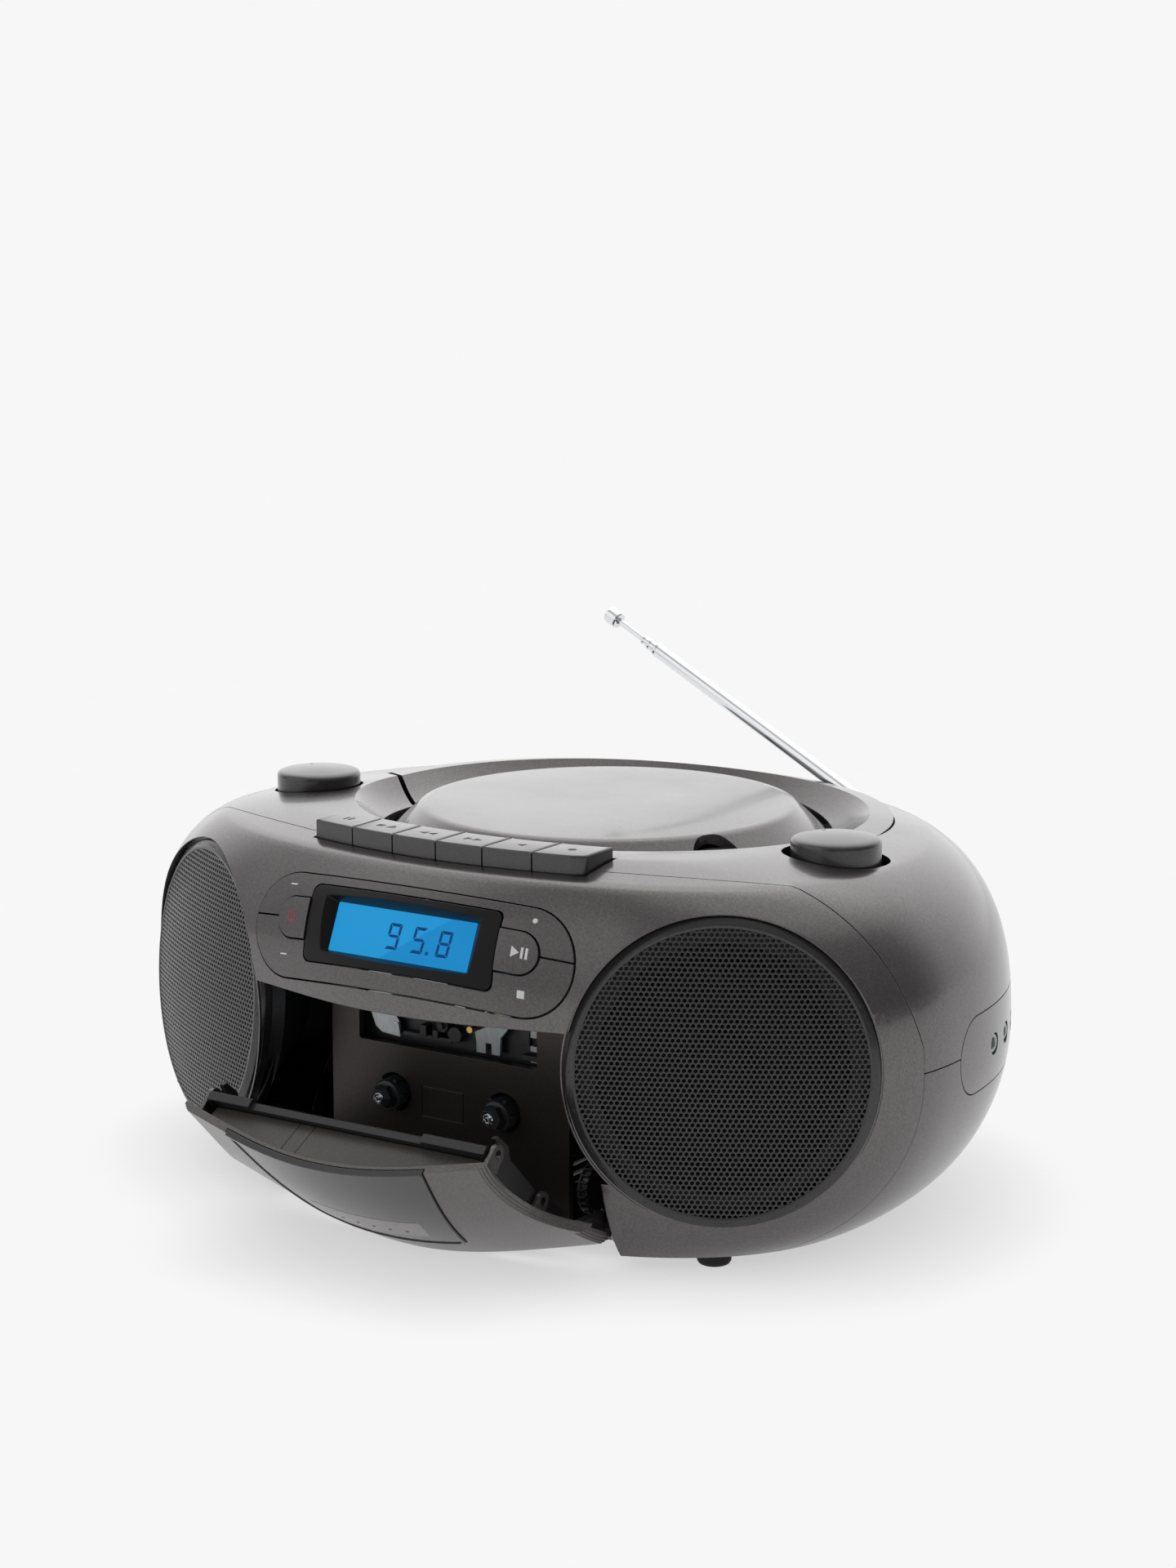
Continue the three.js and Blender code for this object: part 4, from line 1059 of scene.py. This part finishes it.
def head_springs():
    """The two return springs in front of the head bridge."""
    sweep = [(-20 + 14 * t, -82.2, 67.6 + 2.8 * math.sin(2.2 * t)) for t in np.linspace(0, 1, 14)]
    hook = [(-26.5, -82.6, 73), (-24.5, -82.6, 70.8), (-22.6, -82.6, 68.2), (-20.8, -82.6, 65.9),
            (-20.2, -82.6, 64.9),
            (-20.8, -82.6, 64.3), (-21.8, -82.6, 64.5)]
    return merged([wire(sweep, 0.28), wire(hook, 0.3)])


def mechanism_frame():
    """The black moulding behind the head bridge, with its bosses, ribs and slots."""
    back = across_y([(-46, 30), (46, 30), (46, 91), (-46, 91)], -77.6, -76.4)
    back = cut(back, rod("y", 3.8, 10, (15.5, -77, 70), 48), rod("y", 6, 10, (-38, -77, 40), 48))
    ribs = [box((-20, -80.6, 60), (-1, -77.5, 61.4)), box((-13, -81.2, 61), (-10.6, -77.5, 64.6)),
            box((-8, -81.2, 61), (-6, -77.5, 63.6)), box((26, -80.8, 59), (33, -77.5, 60.6)),
            box((24.5, -79.2, 63.4), (28, -77.5, 69.6))]
    bosses = [rod("y", 2.2, 3.6, (-4.4, -79.2, 65.4), 32), rod("y", 2.6, 3.2, (0.2, -79, 62.9), 32),
              rod("y", 1, 5, (-4.4, -79.6, 65.4), 24)]
    return join(back, *ribs, *bosses)


def guide_blocks():
    """Bright steel ends that show at the right of the opening."""
    return merged([box((28.4, -79.2, 66), (33.8, -77.8, 69)), box((28.4, -79.2, 61.6), (33.8, -77.8, 63.4)),
                   box((28.4, -79.2, 58), (33.8, -77.8, 58.9))])


def well_lining(sign):
    """The black wall between the cassette well and a speaker."""
    wall = cut(door_prism(-0.75, 77.6, -98, -62),
               door_prism(0.35, 90, -200, -20, foot=-10), box((-sign * FAR, -FAR, -FAR), (0, FAR, FAR))
               if sign > 0 else box((0, -FAR, -FAR), (FAR, FAR, FAR)))
    speaker = to_speaker(turned("z", [(0, -44), (46, -30), (46, 20), (0, 20)], count=96), sign)
    return clip(cut(wall, speaker), form(3.2))


# ---- Cassette door, modelled closed -----------------------------------------------------------------

LEDGE_X = 50.4


def door_region(gap):
    return clip(door_prism(gap, DOOR_TOP_Z, -FAR, -88), box((-FAR, -FAR, 15), (FAR, FAR, DOOR_TOP_Z)))


def window_prism(gap):
    wide, narrow = 39.8 + gap, 27.8 + gap
    plan = [(-narrow + 1.5, 27 - gap), (narrow - 1.5, 27 - gap), (narrow + 0.2, 28.3 - gap), (wide, 90),
            (-wide, 90),
            (-narrow - 0.2, 28.3 - gap)]
    return across_y(plan, -FAR, -80)


def door_lug(sign):
    """The arm with the bore that turns on the cabinet's pin."""
    low = 60.4 if sign > 0 else -63.4
    arm = across_x([(-101, 16), (-101, 27), (-95, 27), (-86, 17.5), (-85.4, 11), (-91.5, 10.4)], low, low + 3)
    return cut(clip(arm, form(1)), rod("x", 2.1, 150, (0, HINGE_Y, HINGE_Z), 32))


def door_ear(sign, y, z, reach):
    """A thin tab with a hole that ties the holder to the door's skin."""
    plan = arc(3.2, np.linspace(-1.9, 1.9, 19), (y, z)) + [(y - reach, z + 3.4), (y - reach, z - 3.4)]
    low = 53.2 if sign > 0 else -54.6
    tab = across_x(plan, low, low + 1.4)
    return cut(tab, rod("x", 1.35, 20, (sign * 54, y + 0.2, z), 32))


def door_shell():
    skin = clip(cut(copy_of(outer), form(2.6)), door_region(0.5))
    for margin, gap in ((0.3, 2.6), (0.8, 1.9), (1.4, 1.1)):
        core = join(form(margin), door_prism(gap, DOOR_TOP_Z + 5, -FAR, -60, foot=-20))
        skin = clip(skin, core)
    skin = cut(skin, clip(cut(copy_of(outer), form(1.6)), window_prism(0.35)))
    ears = [clip(door_ear(s, y, z, reach), form(1.5)) for s in SIGNS
            for y, z, reach in ((-98, 69.6, 8), (-96.2, 38, 8))]
    return join(skin, *[door_lug(s) for s in SIGNS], *ears)


def door_ledge():
    """The grained shelf along the door's upper edge."""
    high, low = DOOR_TOP_Z + 1, 70
    profile = [(-125, high), (-102, low + 0.25), (-101, low), (-101, low - 3.5), (-125, high - 7)]
    ledge = clip(across_x(profile, -LEDGE_X, LEDGE_X), door_region(0.5), form(2.4))
    seam = [(-125, high + 0.2), (-101, low + 0.22), (-101, low - 0.2), (-125, high - 0.2)]
    return cut(ledge, *[across_x(seam, x, x + 0.3) for x in (-17.6, -11.9)])


def door_window():
    panel = clip(cut(form(-0.3), form(1.3)), window_prism(0), door_region(0.5))
    lip = clip(cut(form(-0.8), form(1)), window_prism(-0.2), door_region(0.5),
               box((-FAR, -FAR, 75.3), (FAR, FAR, 90)))
    edge = clip(cut(form(-0.62), form(1)), cut(window_prism(0), window_prism(-0.7)), door_region(0.5))
    return join(panel, lip, edge)


def on_window(plan):
    """A thin print that follows the window's surface."""
    return cut(clip(form(-0.35), across_y(plan, -FAR, -80)), form(0.1))


STRIP = [(-21, 45), (21, 45), (19, 33.5), (-19, 33.5)]


def strip_dots():
    columns = [across_y(circle(0.55, 16, (x, 37)), -FAR, -80) for x in (-12.4, -6.2, 0, 6.2, 12.4)]
    return [cut(clip(column, form(-0.4)), form(0)) for column in columns]


def cassette_holder():
    """The open frame behind the door that the cassette drops into."""
    plate = [(-103.8, 14), (-101, 10), (-91, 10), (-91, 11.8), (-100.5, 11.8), (-102.2, 14.6), (-102.2, 66),
             (-103.8, 66)]
    made = across_x(plate, -52.6, 52.6)
    bar = across_x([(-100.8, 66), (-97.9, 66), (-97.9, 71.8), (-98.6, 72.6), (-100.8, 72.6)], -52.6, 52.6)
    tabs = [across_x([(-100.8, 69), (-97.2, 69), (-97.2, 72.8), (-98, 74), (-100.8, 74)], x0, x1)
            for x0, x1 in ((-52.6, -36), (29.5, 52.6))]
    arms = []
    for sign in SIGNS:
        side = [(-103.6, 10.4), (-92, 10.4), (-92, 34), (-94.5, 40), (-94.5, 60), (-92, 64), (-92.6, 70.6),
                (-94, 71.6), (-95.2, 68.6), (-97.4, 68.6), (-98, 73.6), (-100.8, 73.6), (-103.6, 66)]
        low = 51 if sign > 0 else -52.6
        arms.append(across_x(side, low, low + 1.6))
    ribs = [box((x, -102.4, 16), (x + 1.2, -100.9, 64)) for x in (-30, 29)]
    return clip(join(made, bar, *tabs, *arms, *ribs), form(3.5))


def cassette_springs():
    """The two leaf springs that press on a cassette."""
    leaves = []
    for x in (-24, 21):
        ring = lambda z, y: np.array([(x, y, z), (x + 3, y, z), (x + 3, y + 0.35, z), (x, y + 0.35, z)])
        leaves.append(loft([ring(24, -102), ring(30, -101.2), ring(40, -98.8), ring(46, -98.2),
                            ring(50, -99.2)]))
    return leaves


def damper_gear():
    wheel = turned("x", [(0, -1.5), (5.6, -1.5), (5.9, -1.2), (6.1, -1.5), (8.1, -1.5), (8.3, -1.3),
                         (8.3, -1),
                         (8.1, -0.8), (7.4, -0.8), (7.4, 1.3), (7.2, 1.5), (0, 1.5)], (56.5, -85, 24), 96)
    teeth = []
    for k in range(22):
        plan = [(-0.5, 7), (0.5, 7), (0.22, 8.4), (-0.22, 8.4)]
        tooth = across_x(plan, -1.5, 1.5)
        teeth.append(placed(tooth, turn_x(360 * k / 22), (56.5, -85, 24)))
    return join(wheel, *teeth)


def mains_inlet():
    block = clip(box((-51.5, 84, 24.5), (-28.5, 104, 41.5)), form(0.8))
    plan = [(-48, 29.5), (-46, 28), (-34, 28), (-32, 29.5), (-32, 36.5), (-34, 38), (-46, 38), (-48, 36.5)]
    return cut(block, across_y(plan, 88, 120))


def inlet_pins():
    return merged([round_rod("y", 1.2, 10, (x, 92.5, 33), 0.5, 24) for x in (-44, -36)])


# ---- Materials ---------------------------------------------------------------------------------------

class Nodes:
    """A short way to build a node tree."""

    def __init__(self, tree):
        self.tree = tree
        tree.nodes.clear()

    def add(self, kind, inputs=None, **settings):
        node = self.tree.nodes.new(kind)
        for key, value in settings.items():
            setattr(node, key, value)
        for key, value in (inputs or {}).items():
            if isinstance(value, bpy.types.NodeSocket):
                self.tree.links.new(value, node.inputs[key])
            else:
                node.inputs[key].default_value = value
        return node


def rgba(color):
    return (*color, 1)


def new_material(name):
    """An empty material and a short way to fill it."""
    made = bpy.data.materials.new(name)
    made.use_nodes = True
    return made, Nodes(made.node_tree)


def finish(name, base, rough, metallic=0.0, coat=0.0, speckle=0.15, fleck=1500, wear=0.08, grain=0.0,
           grain_scale=1600, streak=None, edge=0.35, specular=0.5):
    """A surface with fine flecks in its colour, uneven gloss, a moulded grain and softened edges.

    speckle and wear are how far colour and roughness stray; fleck and grain_scale are in cycles
    per metre; streak stretches the flecks along an axis; edge is the softened width in millimetres.
    """
    made, n = new_material(name)
    where = n.add("ShaderNodeTexCoord").outputs["Object"]
    if streak:
        where = n.add("ShaderNodeMapping", {"Vector": where, "Scale": streak}).outputs["Vector"]
    flecks = n.add("ShaderNodeTexNoise", {"Vector": where, "Scale": fleck, "Detail": 2.0})
    broad = n.add("ShaderNodeTexNoise", {"Vector": where, "Scale": 22.0, "Detail": 3.0})
    tone = n.add("ShaderNodeMapRange", {"Value": flecks.outputs["Fac"], "From Min": 0.3, "From Max": 0.7,
                                        "To Min": 1 - speckle, "To Max": 1 + speckle})
    color = n.add("ShaderNodeVectorMath", {0: base, "Scale": tone.outputs["Result"]}, operation="SCALE")
    gloss = n.add("ShaderNodeMapRange", {"Value": broad.outputs["Fac"], "From Min": 0.3, "From Max": 0.7,
                                         "To Min": rough - wear * 0.5, "To Max": rough + wear * 0.5})
    soft = n.add("ShaderNodeBevel", {"Radius": edge * MM}, samples=4)
    normal = soft.outputs["Normal"]
    if grain:
        relief = n.add("ShaderNodeTexNoise", {"Vector": where, "Scale": grain_scale, "Detail": 2.0})
        normal = n.add("ShaderNodeBump", {"Height": relief.outputs["Fac"], "Strength": grain,
                                          "Distance": 0.00012, "Normal": normal}).outputs["Normal"]
    surface = n.add("ShaderNodeBsdfPrincipled", {
        "Base Color": color.outputs["Vector"], "Roughness": gloss.outputs["Result"], "Metallic": metallic,
        "Coat Weight": coat, "Coat Roughness": 0.09, "Normal": normal, "Specular IOR Level": specular})
    n.add("ShaderNodeOutputMaterial", {"Surface": surface.outputs["BSDF"]})
    return made


def backlit(name, dim, bright):
    """A lit display: a cool glow with a painted reflection, a paler slanting band in the glow colour where a
    window is mirrored in it.
    """
    made, n = new_material(name)
    where = n.add("ShaderNodeTexCoord").outputs["Object"]
    axes = n.add("ShaderNodeSeparateXYZ", {"Vector": where})
    slope = n.add("ShaderNodeMath", {0: axes.outputs["Z"], 1: 1.7}, operation="MULTIPLY")
    across = n.add("ShaderNodeMath", {0: slope.outputs["Value"], 1: axes.outputs["X"]}, operation="SUBTRACT")
    # painted reflection: a slanting band of the paler glow colour where a window is mirrored in the display
    band = n.add("ShaderNodeMapRange", {"Value": across.outputs["Value"], "From Min": 0.1655,
                                        "From Max": 0.1665})
    cloud = n.add("ShaderNodeTexNoise", {"Vector": where, "Scale": 40.0, "Detail": 2.0})
    share = n.add("ShaderNodeMath", {0: band.outputs["Result"], 1: 0.35, 2: 0.1}, operation="MULTIPLY_ADD")
    mixed = n.add("ShaderNodeMath", {0: cloud.outputs["Fac"], 1: 0.3, 2: share.outputs["Value"]},
                  operation="MULTIPLY_ADD")
    color = n.add("ShaderNodeMix", data_type="RGBA")
    n.tree.links.new(mixed.outputs["Value"], color.inputs["Factor"])
    color.inputs[6].default_value = rgba(dim)
    color.inputs[7].default_value = rgba(bright)
    surface = n.add("ShaderNodeBsdfPrincipled", {
        "Base Color": rgba((0.005, 0.02, 0.04)), "Roughness": 0.25, "Specular IOR Level": 0.05,
        "Emission Color": color.outputs[2], "Emission Strength": 1.0})
    n.add("ShaderNodeOutputMaterial", {"Surface": surface.outputs["BSDF"]})
    return made


GUNMETAL = finish("gunmetal lacquer", (0.115, 0.106, 0.107), 0.26, metallic=0.85, coat=0.45, speckle=0.2)
DOOR_GREY = finish("door lacquer", (0.125, 0.114, 0.114), 0.34, metallic=0.8, coat=0.3, speckle=0.2)
PANEL_GREY = finish("panel lacquer", (0.095, 0.088, 0.088), 0.31, metallic=0.8, coat=0.3, speckle=0.18)
CHARCOAL = finish("charcoal plastic", (0.048, 0.045, 0.048), 0.28, metallic=0.5, coat=0.4, speckle=0.12)
BLACK = finish("black plastic", (0.012, 0.012, 0.013), 0.42, speckle=0.1, grain=0.25)
DARK_GLOSS = finish("polished black plastic", (0.01, 0.01, 0.011), 0.12, speckle=0.05, wear=0.03, edge=0.5)
BEZEL_BLACK = finish("satin black plastic", (0.007, 0.0068, 0.007), 0.36, speckle=0.08, wear=0.05, edge=0.6,
                     specular=0.16)
WINDOW_BLACK = finish("smoked window", (0.03, 0.028, 0.03), 0.2, coat=0.2, speckle=0.05, wear=0.04, edge=0.5)
MESH_BLACK = finish("grille lacquer", (0.042, 0.04, 0.041), 0.3, metallic=0.6, coat=0.2, speckle=0.15)
PAPER = finish("pressed paper", (0.012, 0.0115, 0.012), 0.85, speckle=0.35, fleck=700, grain=0.6,
               grain_scale=900)
# the paler colour also carries the painted reflection of a window in the display
DISPLAY = backlit("lit display", (0.005, 0.20, 0.50), (0.02, 0.34, 0.69))
FIGURES = finish("display figures", (0.004, 0.075, 0.30), 0.5, speckle=0.08, specular=0.1)
STEEL = finish("zinc plate", (0.36, 0.38, 0.39), 0.38, metallic=0.75, speckle=0.1, streak=(1, 1, 0.15))
CHROME = finish("chrome", (0.72, 0.73, 0.75), 0.09, metallic=1, speckle=0.03, wear=0.04)
DECK = finish("deck plate paint", (0.045, 0.037, 0.034), 0.34, metallic=0.6, speckle=0.15, grain=0.2)
RUBBER = finish("rubber", (0.011, 0.011, 0.011), 0.8, speckle=0.2, grain=0.5, grain_scale=2200)
BOARD = finish("circuit board varnish", (0.015, 0.07, 0.026), 0.35, speckle=0.3, fleck=260)
BRASS = finish("turned brass", (0.5, 0.33, 0.11), 0.28, metallic=1, speckle=0.08, streak=(1, 0.1, 1))
LEDGE = finish("grained plastic", (0.05, 0.047, 0.042), 0.5, speckle=0.4, fleck=2600, grain=0.8,
               grain_scale=2400)
PRINT = finish("white print", (0.62, 0.63, 0.63), 0.5, speckle=0.05, edge=0.05)
RED_PRINT = finish("red print", (0.38, 0.015, 0.02), 0.5, speckle=0.08, edge=0.05)
DARK_PRINT = finish("dark print", (0.02, 0.018, 0.02), 0.5, speckle=0.1, edge=0.05)
STRIP_GREY = finish("label strip", (0.19, 0.175, 0.18), 0.3, coat=0.2, speckle=0.12, fleck=500, edge=0.05)
LENS = finish("lens", (0.03, 0.02, 0.09), 0.05, coat=0.6, speckle=0.1, wear=0.02)


# ---- Putting the pieces on their bodies -----------------------------------------------------------------

piece(front_fascia(), "front_fascia_skin", "cabinet", GUNMETAL, "front_fascia")
piece(top_cabinet(), "top_cabinet_skin", "cabinet", GUNMETAL, "top_cabinet")
piece(bottom_cabinet(), "bottom_cabinet_skin", "cabinet", GUNMETAL, "bottom_cabinet")
piece(jack_panel(), "jack_panel_skin", "cabinet", GUNMETAL, "jack_panel")
piece(jack_rings(), "jack_rings", "cabinet", STEEL)
piece(battery_door(), "battery_door_skin", "battery_cover", GUNMETAL, "battery_door")

for side_name, side_sign in SIDES:
    piece(grille_mesh(side_sign), f"grille_mesh_{side_name}", "cabinet", MESH_BLACK,
          f"speaker_grille_{side_name}", sharp=0)
    piece(grille_rim(side_sign), f"grille_rim_{side_name}", "cabinet", MESH_BLACK)
    piece(speaker_cone(side_sign), f"cone_{side_name}", "cabinet", PAPER, f"speaker_cone_{side_name}")
    piece(speaker_frame(side_sign), f"basket_{side_name}", "cabinet", BLACK, f"speaker_frame_{side_name}")
    piece(well_lining(side_sign), f"well_lining_{side_name}", "cabinet", DARK_GLOSS)

piece(display_bezel(), "display_bezel_skin", "cabinet", BEZEL_BLACK, "display_bezel")
piece(display_panel(), "display_glass", "cabinet", DISPLAY, "display_panel")
piece(display_digits(), "display_figures", "cabinet", FIGURES)
piece(rocker(1), "upper_rocker_cap", "upper_rocker", PANEL_GREY, "upper_rocker")
piece(rocker(-1), "lower_rocker_cap", "lower_rocker", PANEL_GREY, "lower_rocker")
piece(side_button(-1), "mode_button_cap", "mode_button", PANEL_GREY, "mode_button")
piece(side_button(1), "play_button_cap", "play_button", PANEL_GREY, "play_button")

MARKS = panel_marks()
for where, base, body in (("upper", PANEL_RISE, "upper_rocker"), ("lower", PANEL_RISE, "lower_rocker"),
                          ("play", BUTTON_RISE, "play_button")):
    for count, plan in enumerate(MARKS[where]):
        piece(surface_mark(plan, base), f"mark_{where}_{count}", body, PRINT)
for count, plan in enumerate(power_mark()):
    piece(surface_mark(plan, BUTTON_RISE), f"mark_power_{count}", "mode_button", RED_PRINT)

for index, key in enumerate(KEY_NAMES):
    piece(piano_key(index), f"key_{key}_cap", f"key_{key}", CHARCOAL, f"key_{key}", sharp=40)
    piece(key_inlay(index), f"key_{key}_inlay", f"key_{key}", DARK_PRINT)

piece(knob(-1), "volume_knob_cap", "volume_knob", CHARCOAL, "volume_knob")
piece(knob(1), "tuning_knob_cap", "tuning_knob", CHARCOAL, "tuning_knob")
piece(carry_handle(), "carry_handle_grip", "carry_handle", GUNMETAL, "carry_handle")
piece(disc_lid(), "disc_lid_cover", "disc_lid", GUNMETAL, "disc_lid")
piece(lid_catch(), "lid_catch", "cabinet", BLACK)
piece(disc_clamp(), "disc_clamp_disc", "disc_clamp", BLACK, "disc_clamp")
piece(disc_tray(), "disc_tray_floor", "cabinet", BLACK, "disc_tray")
piece(disc_hub(), "disc_hub_spindle", "disc_hub", BLACK, "disc_hub")
piece(optical_pickup(), "optical_pickup_sled", "optical_pickup", BLACK, "optical_pickup")
piece(pickup_lens(), "pickup_lens", "optical_pickup", LENS)

piece(deck_plate(), "deck_plate_face", "cabinet", DECK, "deck_plate")
piece(mechanism_frame(), "mechanism_frame", "cabinet", BLACK)
piece(guide_blocks(), "guide_blocks", "cabinet", STEEL)
piece(head_bridge(), "head_bridge_plate", "head_carriage", STEEL, "head_bridge")
piece(head_springs(), "head_springs", "head_carriage", CHROME)
for side_name, side_sign in SIDES:
    piece(reel_hub(side_sign * REEL_X), f"reel_{side_name}_spindle", f"reel_{side_name}", BLACK,
          f"reel_{side_name}")
    piece(reel_pin(side_sign * REEL_X), f"reel_{side_name}_pin", f"reel_{side_name}", CHROME)
piece(damper_gear(), "damper_wheel", "damper_gear", BLACK, "damper_gear")
piece(mains_inlet(), "mains_socket", "cabinet", BLACK, "mains_inlet")
piece(inlet_pins(), "mains_pins", "cabinet", CHROME)

piece(open_door(door_shell()), "cassette_door_skin", "cassette_door", DOOR_GREY, "cassette_door")
piece(open_door(door_ledge()), "door_ledge", "cassette_door", LEDGE)
piece(open_door(door_window()), "door_window_panel", "cassette_door", WINDOW_BLACK, "door_window")
piece(open_door(on_window(STRIP)), "window_strip", "cassette_door", STRIP_GREY)
for count, dot in enumerate(strip_dots()):
    piece(open_door(dot), f"strip_dot_{count}", "cassette_door", DARK_PRINT)
piece(open_door(cassette_holder()), "holder_frame", "cassette_door", BLACK, "cassette_holder")
for count, leaf in enumerate(cassette_springs()):
    piece(open_door(as_object(leaf)), f"holder_spring_{count}", "cassette_door", STEEL)

piece(antenna_swivel(), "antenna_fork", "antenna_swivel", CHROME, "antenna_swivel")
piece(antenna_base(), "antenna_section_base", "antenna_base", CHROME, "antenna_base")
piece(antenna_tube(2.15, 1.85, 20, 134), "antenna_section_middle", "antenna_middle", CHROME, "antenna_middle")
piece(antenna_tube(1.7, 1.35, 30, 137.2), "antenna_section_inner", "antenna_inner", CHROME, "antenna_inner")
piece(antenna_tip(), "antenna_section_tip", "antenna_tip", CHROME, "antenna_tip")

for foot_name, (foot_x, foot_y) in FEET.items():
    piece(foot(foot_x, foot_y), f"foot_{foot_name}_pad", "cabinet", RUBBER, f"foot_{foot_name}")

CARRIED_OVER = {
    "circuit_board": BOARD, "power_transformer": STEEL, "tape_motor": STEEL, "drive_belt": RUBBER,
    "motor_pulley": BRASS, "capstan_flywheel": BRASS, "pinch_roller": RUBBER, "tape_head": STEEL,
    "key_shaft": STEEL, "disc_motor": STEEL,
}
for node_name, material in CARRIED_OVER.items():
    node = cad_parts[node_name]
    node.data.materials.clear()
    node.data.materials.append(material)

for form_object in (outer, inner, shell, panel_layer, button_layer):
    bpy.data.objects.remove(form_object)


# ---- Studio ------------------------------------------------------------------------------------------

PAPER_WHITE = 0.93  # how bright the backdrop is to the camera


def studio_world():
    """White to the camera. To the object, soft boxes overhead, at the left and behind, in a dim room."""
    world = bpy.data.worlds.new("studio")
    bpy.context.scene.world = world
    world.use_nodes = True
    n = Nodes(world.node_tree)
    heading = n.add("ShaderNodeTexCoord").outputs["Generated"]
    axes = n.add("ShaderNodeSeparateXYZ", {"Vector": heading})
    height = n.add("ShaderNodeMapRange", {"Value": axes.outputs["Z"], "From Min": -0.1, "From Max": 0.9,
                                          "To Min": 0.13, "To Max": 0.62})
    total = height.outputs["Result"]
    boxes = [((0.1, 0.25, 1.0), 0.72, 0.95, 0.8), ((-0.54, -0.77, 0.33), 0.74, 0.95, 1.0),
             ((-0.5, 0.85, 0.2), 0.1, 0.85, 1.45)]
    for toward, outer_cos, inner_cos, strength in boxes:
        unit = Vector(toward).normalized()
        facing = n.add("ShaderNodeVectorMath", {0: heading, 1: unit}, operation="DOT_PRODUCT")
        glow = n.add("ShaderNodeMapRange", {"Value": facing.outputs["Value"], "From Min": outer_cos,
                                            "From Max": inner_cos, "To Max": strength},
                     interpolation_type="SMOOTHSTEP")
        total = n.add("ShaderNodeMath", {0: total, 1: glow.outputs["Result"]},
                      operation="ADD").outputs["Value"]
    lit = n.add("ShaderNodeBackground", {"Strength": total})
    seen = n.add("ShaderNodeBackground", {"Color": rgba((PAPER_WHITE,) * 3), "Strength": 1.0})
    path = n.add("ShaderNodeLightPath")
    both = n.add("ShaderNodeMixShader", {0: path.outputs["Is Camera Ray"], 1: lit.outputs["Background"],
                                         2: seen.outputs["Background"]})
    n.add("ShaderNodeOutputWorld", {"Surface": both.outputs["Shader"]})


CONTACT_REACH = 0.05  # metres over which the object's contact shadow fades out
CONTACT_TONE = 0.62  # how bright the floor stays where the object closes it off
FLOOR_BOUNCE = 0.5  # the light the floor sends up to the object besides what it receives


def studio_floor():
    """White paper to the camera, darker only where the object closes it off; plain paper to the object."""
    points = np.array([(-9000, -9000, 0), (9000, -9000, 0), (9000, 9000, 0), (-9000, 9000, 0)], float)
    floor = as_object((points, [(0, 1, 2, 3)]), "floor")
    made, n = new_material("floor paper")
    where = n.add("ShaderNodeTexCoord").outputs["Object"]
    fibres = n.add("ShaderNodeTexNoise", {"Vector": where, "Scale": 60.0})
    tone = n.add("ShaderNodeMapRange", {"Value": fibres.outputs["Fac"], "To Min": PAPER_WHITE - 0.006,
                                        "To Max": PAPER_WHITE + 0.006})
    openness = n.add("ShaderNodeAmbientOcclusion", {"Distance": CONTACT_REACH}, samples=16)
    shade = n.add("ShaderNodeMapRange", {"Value": openness.outputs["AO"], "From Min": 0.05, "From Max": 0.9,
                                         "To Min": CONTACT_TONE, "To Max": 1.0})
    seen = n.add("ShaderNodeMath", {0: tone.outputs["Result"], 1: shade.outputs["Result"]},
                 operation="MULTIPLY")
    glow = n.add("ShaderNodeEmission", {"Strength": seen.outputs["Value"]})
    bare = n.add("ShaderNodeBsdfDiffuse", {"Color": rgba((0.5,) * 3)})
    bounce = n.add("ShaderNodeEmission", {"Strength": FLOOR_BOUNCE})
    felt = n.add("ShaderNodeAddShader", {0: bare.outputs["BSDF"], 1: bounce.outputs["Emission"]})
    path = n.add("ShaderNodeLightPath")
    both = n.add("ShaderNodeMixShader", {0: path.outputs["Is Camera Ray"], 1: felt.outputs["Shader"],
                                         2: glow.outputs["Emission"]})
    n.add("ShaderNodeOutputMaterial", {"Surface": both.outputs["Shader"]})
    floor.data.materials.append(made)


def studio_camera():
    """A long lens from the front right, a little above the player."""
    azimuth, elevation, distance = math.radians(33.86), math.radians(13.88), 1100.38
    target = np.array([0, -22, 80]) + ORIGIN_SHIFT
    back = np.array([math.sin(azimuth) * math.cos(elevation), -math.cos(azimuth) * math.cos(elevation),
                     math.sin(elevation)])
    right = np.array([math.cos(azimuth), math.sin(azimuth), 0])
    up = np.cross(back, right)
    data = bpy.data.cameras.new("camera")
    data.lens = 76.35
    data.sensor_width = 36
    data.clip_end = 100
    camera = bpy.data.objects.new("camera", data)
    bpy.context.scene.collection.objects.link(camera)
    camera.location = Vector((target + distance * back) * MM)
    look = Vector(-back + 0.00946 * right + 0.0486 * up)
    camera.rotation_mode = "QUATERNION"
    camera.rotation_quaternion = look.to_track_quat("-Z", "Y")
    bpy.context.scene.camera = camera


studio_world()
studio_floor()
studio_camera()
bpy.context.scene.view_settings.view_transform = "Standard"
